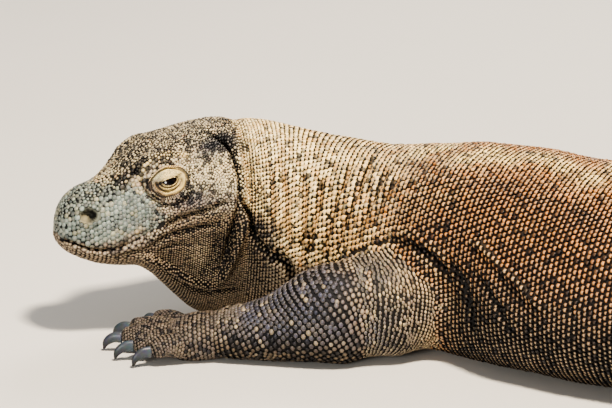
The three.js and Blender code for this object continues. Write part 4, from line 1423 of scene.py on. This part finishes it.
def clear_of(spot, made):
    """Which roots stay clear of the lids, the nostrils, the mouth and the deepest folds."""
    keep = (ring_distance(spot) > 0.94) | (made["loft"] > 0) | (made["s"] > 150)
    keep &= nostril_distance(spot) > 1.38
    keep &= line_distance(spot, {"mouth"}) > 1.5
    return keep & (line_distance(spot, DEEP_FOLDS) > 1.7)


def gather_scales():
    """All scales of body and limbs, set on the finished skin, without those buried in another part."""
    sets = [body_scales()]
    for index, (_, part, segment, depth, _, _) in enumerate(LIMB_PARTS):
        sets.append(limb_scales(index, part, segment, depth))
    made = {key: np.concatenate([one[key] for one in sets]) for key in sets[0]}
    spot, normal, gap = settle(made["root"])
    made["spot"], made["normal"] = spot, normal
    outside = ((made["root"] - spot) * normal).sum(1) > 0
    keep = gap < np.where(made["leg"] == 3, 3.0, SOFT_SEAM)
    keep &= (gap < 5) | ~outside
    keep &= clear_of(spot, made)
    made, gap = pick(made, keep), gap[keep]
    stays = one_of_each(made, gap)
    made, gap = fill_gaps(pick(made, stays), gap[stays])
    space_out(made, gap)
    return pick(made, clear_of(made["spot"], made))


scales = gather_scales()
scales["grain"] = dice.random(len(scales["s"]))

# Coat pieces along the body: where each starts and ends, and its slot.
BODY_COATS = [
    ("coat_snout", 0, 100, "hide_head"),
    ("coat_head", 100, 196, "hide_head"),
    ("coat_neck", 196, 400, "hide_neck"),
    ("coat_chest", 400, 600, "hide_back"),
    ("coat_belly", 600, 850, "hide_back"),
    ("coat_hips", 850, 1150, "hide_back"),
    ("coat_tail_root", 1150, 1680, "hide_tail"),
    ("coat_tail_end", 1680, 2500, "hide_tail"),
]


# How flat-topped the beads of a piece are, and how dark their rear corners.
SHAPES = {
    "coat_snout": {"sides": 7, "shoulder": 0.9, "flat": 0.92},
    "coat_head": {"shoulder": 0.8, "flat": 0.7},
    "coat_neck": {"shoulder": 0.86, "dot": 1.7},
    "coat_chest": {"shoulder": 0.8, "dot": 1.0},
    "coat_belly": {"shoulder": 0.8, "dot": 0.5},
}
LEG_SHAPE = {"shoulder": 0.84, "flat": 0.74}
HEXAGON = 0.577  # corner radius of a hexagon over its width across the flats


def scale_sizes(made):
    """Half length, half width and height of each scale, from its pitch and the row spacing."""
    count = len(made["s"])
    vary = 1 + dice.normal(0, 0.07, count)
    level = level_of(made["degrees"])
    body = made["leg"] == 0
    trunk = step(380, 480, made["s"])
    head, neck = body * step(206, 194, made["s"]), body * step(194, 206, made["s"]) * (1 - trunk)
    side = body * trunk * step(75, 40, level)
    wrinkled = neck * step(262, 290, made["s"])
    limb = made["leg"] > 0
    plate = head * plated(made["s"], level)
    row = (made["leg"] == 1) | (made["leg"] == 2)
    crown = head * step(40, 54, level) * step(20, 100, made["s"])
    fill_along = 0.92 + 0.14 * plate - 0.15 * crown + 0.06 * neck - 0.02 * wrinkled - 0.08 * side
    fill_along = fill_along + 0.05 * trunk * step(50, 76, level) - 0.24 * row
    fill_across = 0.95 + 0.11 * plate - 0.15 * crown + 0.05 * neck - 0.07 * side + 0.1 * limb
    loose = head * (level > -6) > 0.5
    half_long = made["spacing"] * np.where(loose, HEXAGON, 0.67) * fill_along * vary
    half_wide = made["pitch"] * HEXAGON * fill_across * vary
    tall = made["depth"] * (1.0 + 0.35 * dice.random(count)) * (1 - 0.3 * plate)
    return np.stack([half_long, half_wide, tall], 1)


def scatter(look):
    """Single scales set apart from their neighbours: some inky, some rusty, and each a little paler or
    warmer than the next."""
    count = len(look["inky"])
    first, second, third = dice.random((3, count))
    inky, rusty = look.pop("inky"), look.pop("rusty")
    look["ink"] = 0.85 * step(inky + 0.12, inky - 0.08, first)
    look["ochre"] = np.clip(look["ochre"] + 0.7 * step(rusty + 0.05, rusty - 0.05, second), 0, 1)
    speck = step(0.88, 0.94, third) * step(0.12, 0.22, look["rim"])
    look["slate"], look["umber"] = look["slate"] * (1 - 0.45 * speck), look["umber"] * (1 - 0.4 * speck)
    pale = look["chalk"]
    tinted, dusky = step(0.66, 0.9, second) * pale, step(0.6, 0.9, first) * pale
    look["yellow"] = np.clip(look["yellow"] + 0.8 * tinted, 0, 1)
    look["slate"] = np.clip(look["slate"] + 0.7 * dusky, 0, 1)
    chalk = pale + 3.2 * (third - 0.5) * pale * (1 - pale) - 0.2 * tinted - 0.35 * dusky
    cream = look["cream"] * (0.72 + 0.56 * third) - 0.3 * (second < rusty) + 0.35 * speck
    look["chalk"], look["cream"] = np.clip(chalk, 0, 1), np.clip(cream, 0, 1)
    return look


scales["size"] = scale_sizes(scales)
look = scatter(markings(scales["s"], scales["degrees"], scales["leg"], scales["reach"], scales["spot"],
                        scales["sunk"]))


def coat_piece(name, chosen, uv, slot, **shape):
    """A coat piece of the chosen scales, riding on the body."""
    own = pick(scales, chosen)
    piece = coat(name, own["spot"], own["normal"], own["along"], own["size"], pick(look, chosen),
                 own["grain"], uv, **shape)
    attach(piece, "root")
    return piece


def spread(share):
    """A share of a length, kept a little inside the unwrap's edges."""
    return 0.01 + 0.98 * np.clip(share, 0, 1)


coat_pieces = []
for name, start, end, slot in BODY_COATS:
    s = scales["s"]
    chosen = np.flatnonzero((scales["leg"] == 0) & (s >= start) & (s < end))
    uv = np.stack([spread((s[chosen] - start) / (end - start)), spread(scales["degrees"][chosen] / 360)], 1)
    tilt = 0.35 if start >= 1150 else 0.12
    shape = SHAPES.get(name, {})
    coat_pieces.append(coat_piece(name, chosen, uv, slot, tilt=tilt, **shape))
for name in LEGS:
    lofts = [i for i, row in enumerate(LIMB_PARTS) if row[0] == name]
    chosen = np.flatnonzero((scales["loft"] > lofts[0]) & (scales["loft"] <= lofts[-1] + 1))
    lane = scales["loft"][chosen] - 1 - lofts[0]
    uv = np.stack([spread(scales["reach"][chosen]),
                   (lane + spread(np.mod(scales["degrees"][chosen], 360) / 360)) / len(lofts)], 1)
    coat_pieces.append(coat_piece(f"coat_{name}", chosen, uv, "hide_leg", **LEG_SHAPE))


def lid_share(points):
    """For points near an eye: the share t of the way from the slit to the ring's edge, and how much the
    place is above the slit, 1, or below it, 0. Both are read from a fine net of the lids' own places."""
    phi, t = np.meshgrid(np.arange(90) * 2 * math.pi / 90, np.linspace(0, 1.15, 36), indexing="ij")
    u, v = lid_plane(phi, t)
    tree = point_tree(np.stack([u.ravel(), v.ravel(), np.zeros(u.size)], 1))
    share, above = np.ones(len(points)), np.ones(len(points))
    for eye in EYES.values():
        pu, pv, depth = eye_places(points, eye)
        near = np.flatnonzero((np.hypot(pu, pv) < NEAR_EYE) & (depth > BEHIND_EYE))
        nearest = [tree.find((pu[i], pv[i], 0))[1] for i in near]
        share[near], above[near] = t.ravel()[nearest], step(-0.25, 0.25, np.sin(phi.ravel()[nearest]))
    return share, above


def eye_spots(points):
    """Places of points near an eye in its plane, u and v, which are far off for all others, and how much
    each lies in a crease that runs on from the slit."""
    u, v, seam = np.full(len(points), -99.0), np.full(len(points), 99.0), np.zeros(len(points))
    for eye in EYES.values():
        across, rise, depth = eye_places(points, eye)
        near = (depth > BEHIND_EYE) & (np.hypot(across, rise) < NEAR_EYE)
        u, v = np.where(near, across, u), np.where(near, rise, v)
        seam = np.where(near, crease_at(across, rise), seam)
    return u, v, seam


def lid_look(points):
    """The lids' markings: a smooth cream dome above, greener to the front, in a tan beaded rim; folds of
    yellow and tan below; every crease darker, partly brown and partly painted shade; painted shade in the
    corner before the slit, and dusky below it."""
    t, above = lid_share(points)
    below = 1 - above
    crease = sum(bump(t, at, 0.06) for at, height, _ in LOWER_LID if height < 0)
    edge_crease = bump(t, 0.71, 0.035)
    outer = step(0.5, 0.86, t)
    u, v, seam = eye_spots(points)
    # The corner before the slit: painted shade.
    corner = step(6, 13, u) * step(7, 1, v)
    low = below * step(0.5, 0.85, t) * step(0, 14, u - v)
    speck = np.sin(2.1 * u + 1.3 * v) * np.sin(1.7 * v - 0.9 * u + 1)
    rim = above * bump(t, 0.87, 0.12)
    # Creases darker, partly their brown colour and partly painted shade; the corner before the slit darker,
    # painted shade.
    umber = 0.85 * below * crease + 0.6 * above * edge_crease + 0.9 * bump(t, 0, 0.05) + 0.55 * corner
    umber = umber + 0.45 * low + 0.45 * below * outer + 0.7 * seam * step(0.7, 0.3, t)
    ink = 0.3 * below * crease + 0.3 * above * edge_crease + 0.7 * bump(t, 0, 0.03)
    ink = ink + 0.4 * np.maximum(corner, low) * (0.4 + speck) + 0.3 * seam * step(0.7, 0.3, t)
    # In the corner's painted shade the cream and yellow are dimmed and the dark round the granules' feet is
    # wider.
    made = {
        "chalk": 0.12 * above * step(0.8, 0.6, t) + 0.5 * above * step(3, 13, u),
        "cream": 1 - 0.35 * below - 0.55 * outer - 0.4 * corner,
        "yellow": 0.65 - 0.35 * outer - 0.3 * corner,
        "ochre": 0.45 * below + (0.9 + 0.5 * speck) * rim + 0.6 * below * step(0.4, 0.7, t),
        "slate": 0.4 * outer * below * step(8, -4, u),
        "umber": umber, "ink": ink, "rim": np.zeros(len(t)), "edge": 0.08 + 0.34 * np.maximum(outer, corner),
    }
    return {key: np.clip(value, 0, 1) for key, value in made.items()}


def nearest_look(points):
    """The markings of the nearest scale's root."""
    tree = point_tree(scales["spot"])
    return pick(look, np.array([tree.find(p)[1] for p in points]))


def lid_scales():
    """Fine granules in rings over the lids of both eyes, as one coat piece."""
    parts = []
    for index, (middle, forward, up, gaze) in enumerate(EYES.values()):
        for row, t in enumerate(0.05 + 0.9 * np.linspace(0, 1, 14) ** 1.12):
            u, v = lid_plane(np.linspace(0, 2 * math.pi, 181), t)
            around = np.hypot(np.diff(u), np.diff(v)).sum()
            count = int(around / (1.45 + 0.9 * float(step(0.6, 0.95, t))))
            phi = (np.arange(count) + 0.5 * (row % 2)) * 2 * math.pi / count
            u, v = lid_plane(phi, t)
            deep = np.sqrt(np.maximum(LID_RADIUS**2 - np.minimum(np.hypot(u, v), 10) ** 2, 0))
            place = middle + forward * u[:, None] + up * v[:, None] + gaze * (deep + 1)[:, None]
            turned = forward * -np.sin(phi)[:, None] + up * np.cos(phi)[:, None]
            parts.append(np.column_stack([place, turned, phi, np.full(count, t), np.full(count, index)]))
    rows = np.concatenate(parts)
    spot, normal, _ = settle(rows[:, :3])
    count = len(rows)
    phi, t, index = rows[:, 6:].T
    rim = step(0.66, 0.95, t)
    vary = 1 + dice.normal(0, 0.12, count)
    size = np.stack([(0.84 + 0.5 * rim) * vary, (0.8 + 0.3 * rim) * vary, (0.26 + 0.75 * rim) * vary], 1)
    sine = np.sin(phi)
    outer = step(0.88, 1.04, t) * step(-0.2, 0.3, sine) + step(0.54, 0.86, t) * step(0.3, -0.2, sine)
    share = np.clip(outer * (1 + 0.25 * dice.normal(0, 1, count)), 0, 1)
    lids, near = lid_look(spot), nearest_look(spot)
    shade = {key: lids[key] * (1 - share) + near[key] * share for key in lids}
    uv = np.stack([spread((index + phi / (2 * math.pi) % 1) / 2), spread(t)], 1)
    piece = coat("coat_lids", spot, normal, rows[:, 3:6], size, shade, dice.random(count), uv, sides=5)
    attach(piece, "root")
    return piece


lid_piece = lid_scales()

# ---- The skin as a piece ----


def skin_look():
    """Markings for the skin: those of the nearest scale's root, and the lids' own round the eyes."""
    made = nearest_look(skin_points)
    lid = step(0.94, 0.8, ring_distance(skin_points))
    for key, value in lid_look(skin_points).items():
        made[key] = made[key] * (1 - lid) + value * lid
    near, floor = nostril_distance(skin_points), nostril_floor(skin_points)
    made["lid"] = np.maximum(lid, 0.85 * step(1.7, 1.45, near))
    rim = step(1.75, 1.45, near)
    clean = {"ink": 0, "umber": 0, "ochre": 0, "slate": 0.2, "chalk": 0.75 - 0.4 * floor,
             "cream": 0.5 + 0.3 * floor, "yellow": 0.1 + 0.4 * floor}
    for key, value in clean.items():
        made[key] = made[key] * (1 - rim) + value * rim
    # The nostril's opening is painted near black, painted shade, less so on its floor.
    made["pit"] = step(1.04, 0.94, near) * (1 - 0.85 * floor)
    return made


FLESH = [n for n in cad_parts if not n.startswith("eye_") and "_claw_" not in n]
skin = mesh_object("skin", skin_points, skin_faces, skin_look())
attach(skin, "root")
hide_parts(*FLESH)

# ---- Eyes and claws ----


def eyeball(side):
    """An eyeball whose rings run round its gaze, with the share of the way from the pupil as 'off'. The
    cornea bulges a little over the iris."""
    middle, forward, up, gaze = EYES[side]
    off, turn = ball_angles(40, 48)
    radius = EYE["radius"] - 0.25 + 0.2 * bump(off, 0, 0.5)
    spots = (np.cos(turn)[..., None] * forward + np.sin(turn)[..., None] * up) * np.sin(off)[..., None]
    spots = spots + np.cos(off)[..., None] * gaze
    points, faces = loft(middle + spots * radius[..., None], middle + gaze * (EYE["radius"] - 0.05),
                         middle - gaze * (EYE["radius"] - 0.25))
    shade = np.concatenate([off.ravel(), [0, math.pi]])
    piece = mesh_object(f"eyeball_{side}", points, outward(points, faces), {"off": shade})
    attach(piece, "root")
    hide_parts(f"eye_{side}")
    return piece


def claw(leg_name, i, segment):
    """A curved claw: the same line and sections as its solid, in many rings, narrower above."""
    length = limb_length(segment)[-1]
    x, degrees = np.meshgrid(np.linspace(0, length, 22), np.arange(20) * 18, indexing="ij")
    points, faces = loft(limb_surface(segment, x, degrees))
    shade = np.concatenate([(x / length).ravel(), [0, 1]])
    piece = mesh_object(f"{leg_name}_horn_{i}", points, outward(points, faces), {"reach": shade})
    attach(piece, "root")
    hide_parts(f"{leg_name}_claw_{i}")
    return piece


eye_pieces = [eyeball(side) for side in EYES]
claw_pieces = [
    claw(name, i + 1, digit["claw"]) for name, leg in LEGS.items() for i, digit in enumerate(leg["digits"])
]

# ---- Materials ----


# Marks per metre of each pattern, from a real size: drifts of tone 36 mm across, dust and wear drawn at
# 1.5 mm so that they still show from across a room, skin creases 1.1 mm, streaks in a claw 4 mm, and
# slow mottling of the floor.
PATTERN = {"drift": 28.0, "dust": 650.0, "crease": 900.0, "streak": 260.0, "floor": 3.0}
# The hide's colours over its ground and ochre, in the order they lie.
LAYERS = {"cream": "#e6d0a2", "yellow": "#ead38a", "slate": "#2d3751", "chalk": "#76827d", "umber": "#5a4d40",
          "ink": "#15171f"}
MIXED = {"out": 2, "data_type": "RGBA"}  # a colour mix: inputs 0 share, 6 first and 7 second, output 2
IRIS = [(0.24, "#050404"), (0.3, "#1c110a"), (0.5, "#2c1a0e"), (0.62, "#0e0907"), (0.85, "#4a3c30")]


def colour(code):
    """An sRGB hex code as a linear colour with full alpha: over 12.92 near black, and else raised by
    0.055, over 1.055, to the power of 2.4."""
    channel = np.array([int(code[i:i + 2], 16) / 255 for i in (1, 3, 5)])
    linear = np.where(channel <= 0.04045, channel / 12.92, ((channel + 0.055) / 1.055) ** 2.4)
    return (*linear, 1.0)


def put(tree, kind, inputs=(), out=None, **settings):
    """Adds a shader node of a kind, sets its properties and fills its inputs, by name or in order, with
    values, hex codes or sockets to link. Gives the output that out names, or else the node."""
    node = tree.nodes.new("ShaderNode" + kind)
    for key, value in settings.items():
        setattr(node, key, value)
    for key, value in inputs.items() if isinstance(inputs, dict) else enumerate(inputs):
        if isinstance(value, bpy.types.NodeSocket):
            tree.links.new(value, node.inputs[key])
        else:
            node.inputs[key].default_value = colour(value) if isinstance(value, str) else value
    return node if out is None else node.outputs[out]


def start_material(name):
    """An empty material with its tree and its shader, joined to the output."""
    material = bpy.data.materials.new(name)
    material.use_nodes = True
    tree = material.node_tree
    tree.nodes.clear()
    shader = put(tree, "BsdfPrincipled")
    put(tree, "OutputMaterial", {"Surface": shader.outputs["BSDF"]})
    return material, tree, shader


def attributes_in(tree, *names):
    """Each named float attribute of the mesh, as a socket."""
    return [put(tree, "Attribute", out="Fac", attribute_name=name) for name in names]


def hide_colours(tree):
    """The hide's colour from its markings, which the skin and the scales share: a drifting ground, then
    each colour laid over the last by its share."""
    names = ("ochre", *LAYERS)
    share = dict(zip(names, attributes_in(tree, *names)))
    place = put(tree, "TexCoord", out="Object")
    drift = put(tree, "TexNoise", {"Vector": place, "Scale": PATTERN["drift"], "Detail": 3.0}, "Fac")
    ground = put(tree, "Mix", {0: drift, 6: "#5c544a", 7: "#86775f"}, **MIXED)
    earth = put(tree, "Mix", {0: drift, 6: "#824c25", 7: "#be834c"}, **MIXED)
    made = put(tree, "Mix", {0: share["ochre"], 6: ground, 7: earth}, **MIXED)
    for key, code in LAYERS.items():
        made = put(tree, "Mix", {0: share[key], 6: made, 7: code}, **MIXED)
    return made, place, share


def scale_material():
    """Keratin scales: dull horn beads, black at the foot, partly dark skin and partly painted shade in the
    gaps, with pale rims on the legs and paler crowns elsewhere, partly wear and partly painted highlight,
    each one a little different in tone, with a soft waxy shine."""
    material, tree, shader = start_material("keratin scales, matt")
    base, place, share = hide_colours(tree)
    grain, crown, rim, edge = attributes_in(tree, "grain", "crown", "rim", "edge")
    tone = put(tree, "MapRange", (grain, 0, 1, 0.62, 1.45), "Result")
    base = put(tree, "HueSaturation", {"Value": tone, "Color": base}, "Color")
    # A pale rim below the crown, and none on black scales.
    outside = put(tree, "MapRange", (crown, 0.6, 0.78, 1, 0), "Result")
    light = put(tree, "MapRange", (share["ink"], 0, 0.5, 1, 0), "Result")
    edging = put(tree, "Math", (outside, rim), "Value", operation="MULTIPLY")
    edging = put(tree, "Math", (edging, light), "Value", operation="MULTIPLY")
    base = put(tree, "Mix", {0: edging, 6: base, 7: "#cbbd9f"}, **MIXED)
    # A paler crown, partly wear and partly painted highlight, less where the scale is rimmed, black, slate or
    # chalk: low, high and what is left.
    worn = put(tree, "MapRange", (crown, 0.6, 1.0, 0, 0.58), "Result")
    for cause, low, high, left in (
        (rim, 0, 0.6, 0), (share["ink"], 0, 0.7, 0.12), (share["slate"], 0.2, 0.9, 0.15),
        (share["chalk"], 0.2, 0.8, 0.3),
    ):
        less = put(tree, "MapRange", (cause, low, high, 1, left), "Result")
        worn = put(tree, "Math", (worn, less), "Value", operation="MULTIPLY")
    pale = put(tree, "Mix", {0: share["ochre"], 6: "#f6ead2", 7: "#f3c288"}, **MIXED)
    pale = put(tree, "Mix", {0: share["umber"], 6: pale, 7: "#d6bf9c"}, **MIXED)
    base = put(tree, "Mix", {0: worn, 6: base, 7: pale}, **MIXED)
    # The dark round the foot, partly dark skin and partly painted shade in the gaps between scales, fades
    # within 0.14 of the edge, up and down the crown.
    below, over = (
        put(tree, "Math", (edge, 0.14), "Value", operation=how) for how in ("SUBTRACT", "ADD")
    )
    dark = put(tree, "MapRange", (crown, below, over, 0.97, 0), "Result")
    base = put(tree, "Mix", {0: dark, 6: base, 7: "#08070a"}, **MIXED)
    dust = put(tree, "TexNoise", {"Vector": place, "Scale": PATTERN["dust"], "Detail": 2.0})
    base = put(tree, "Mix", {0: 0.25, 6: base, 7: dust.outputs["Color"]}, blend_type="SOFT_LIGHT",
               **MIXED)
    rough = put(tree, "MapRange", (dust.outputs["Fac"], 0, 1, 0.27, 0.54), "Result")
    tree.links.new(base, shader.inputs["Base Color"])
    tree.links.new(rough, shader.inputs["Roughness"])
    return material


def skin_material():
    """Bare skin between the scales: dark, partly its own colour and partly painted shade in the gaps between
    scales; dry, matt and finely creased; paler on the lids; near black in the nostrils' openings, painted
    shade.
    """
    material, tree, shader = start_material("reptile skin, dry")
    base, place, _ = hide_colours(tree)
    lid, pit = attributes_in(tree, "lid", "pit")
    # Near black away from the lids: partly the skin's own dark colour, partly painted shade in the gaps
    # between scales.
    shade = put(tree, "MapRange", (lid, 0, 1, 0.93, 0.1), "Result")
    base = put(tree, "Mix", {0: shade, 6: base, 7: "#0b090a"}, **MIXED)
    # Painted shade in the nostrils' openings.
    base = put(tree, "Mix", {0: pit, 6: base, 7: "#0d0907"}, **MIXED)
    creases = put(tree, "TexNoise", {"Vector": place, "Scale": PATTERN["crease"], "Detail": 3.0}, "Fac")
    bumps = put(tree, "Bump", {"Strength": 0.4, "Distance": 0.0006, "Height": creases}, "Normal")
    tree.links.new(base, shader.inputs["Base Color"])
    tree.links.new(bumps, shader.inputs["Normal"])
    shader.inputs["Roughness"].default_value = 0.7
    return material


def eye_material():
    """Living eye: black pupil, dark brown iris with a blackish rim, dull brown behind it, under a wet
    clear coat."""
    material, tree, shader = start_material("eye, wet")
    (off,) = attributes_in(tree, "off")
    rings = put(tree, "ValToRGB", {"Fac": off})
    stops = rings.color_ramp.elements
    stops.remove(stops[1])
    stops[0].color = colour("#040303")
    for at, code in IRIS:
        stops.new(at).color = colour(code)
    tree.links.new(rings.outputs["Color"], shader.inputs["Base Color"])
    for key, value in (("Roughness", 0.12), ("IOR", 1.38), ("Coat Weight", 1.0), ("Coat Roughness", 0.03)):
        shader.inputs[key].default_value = value
    return material


def claw_material():
    """Claw horn: slate grey, darker to the tip, streaked along its length and scuffed, semi-gloss."""
    material, tree, shader = start_material("claw horn, worn")
    (reach,) = attributes_in(tree, "reach")
    place = put(tree, "TexCoord", out="Object")
    base = put(tree, "Mix", {0: reach, 6: "#535b64", 7: "#26282c"}, **MIXED)
    streak = put(tree, "TexNoise", {"Vector": place, "Scale": PATTERN["streak"], "Detail": 4.0})
    base = put(tree, "Mix", {0: 0.5, 6: base, 7: streak.outputs["Color"]}, blend_type="SOFT_LIGHT",
               **MIXED)
    scuffs = streak.outputs["Fac"]
    bumps = put(tree, "Bump", {"Strength": 0.3, "Distance": 0.0005, "Height": scuffs}, "Normal")
    tree.links.new(base, shader.inputs["Base Color"])
    tree.links.new(bumps, shader.inputs["Normal"])
    shader.inputs["Roughness"].default_value = 0.38
    return material


def floor_material():
    """Painted studio floor: pale, smooth and matt."""
    material, tree, shader = start_material("studio floor, matt paint")
    place = put(tree, "TexCoord", out="Object")
    mottling = put(tree, "TexNoise", {"Vector": place, "Scale": PATTERN["floor"], "Detail": 2.0}, "Fac")
    base = put(tree, "Mix", {0: mottling, 6: "#d9d6d0", 7: "#dedbd6"}, **MIXED)
    tree.links.new(base, shader.inputs["Base Color"])
    shader.inputs["Roughness"].default_value = 0.85
    return material


def dress(pieces, material):
    """Gives each piece one material."""
    for piece in pieces:
        piece.data.materials.clear()
        piece.data.materials.append(material)


dress([*coat_pieces, lid_piece], scale_material())
dress([skin], skin_material())
dress(eye_pieces, eye_material())
dress(claw_pieces, claw_material())

# ---- Floor, light and camera ----


FLOOR_REACH = 12.0  # metres from the animal to each edge of the floor


def studio():
    """A pale floor, a dim even sky and three area lamps: key, fill and back."""
    low, high = Vector(cad_low), Vector(cad_high)
    middle = (low + high) / 2
    mesh = bpy.data.meshes.new("floor")
    ways = ((-1, -1), (1, -1), (1, 1), (-1, 1))
    corners = [(middle.x + a * FLOOR_REACH, middle.y + b * FLOOR_REACH, 0) for a, b in ways]
    mesh.from_pydata(corners, [], [(0, 1, 2, 3)])
    floor = bpy.data.objects.new("floor", mesh)
    bpy.context.collection.objects.link(floor)
    mesh.materials.append(floor_material())
    bpy.context.scene.view_settings.look = "AgX - High Contrast"
    world = bpy.data.worlds.new("studio")
    bpy.context.scene.world = world
    world.use_nodes = True
    world.node_tree.nodes["Background"].inputs["Color"].default_value = colour("#e6e8ec")
    world.node_tree.nodes["Background"].inputs["Strength"].default_value = 0.24
    lamps = [
        ("key", (-0.3, -0.9, 3.0), 0.4, 148, "#fff1de"),
        ("fill", (-2.4, -2.6, 0.8), 1.0, 48, "#f4f2ee"),
        ("back", (-0.2, 2.6, 2.0), 1.2, 40, "#fff8ee"),
    ]
    target = Vector((-0.85, 0.1, 0.1))
    for name, place, size, watts, tint in lamps:
        data = bpy.data.lights.new(name, "AREA")
        data.energy, data.size, data.color = watts, size, colour(tint)[:3]
        lamp = bpy.data.objects.new(name, data)
        lamp.location = place
        lamp.rotation_euler = (target - Vector(place)).to_track_quat("-Z", "Y").to_euler()
        bpy.context.collection.objects.link(lamp)


CAMERA_AIM = (0, 0, 110)  # in the animal's frame
CAMERA_FAR = 3.6  # metres
CAMERA_DOWN = 18  # degrees below level
CAMERA_LENS = (200, 36)  # focal length and sensor width


def camera():
    """A long lens that looks down at the animal from its left side."""
    data = bpy.data.cameras.new("camera")
    data.lens, data.sensor_width = CAMERA_LENS
    made = bpy.data.objects.new("camera", data)
    down = math.radians(CAMERA_DOWN)
    aim = Vector(metres(np.array(CAMERA_AIM, float)))
    made.location = aim + Vector((0, -math.cos(down), math.sin(down))) * CAMERA_FAR
    made.rotation_euler = (math.pi / 2 - down, 0, 0)
    bpy.context.collection.objects.link(made)
    bpy.context.scene.camera = made


studio()
camera()
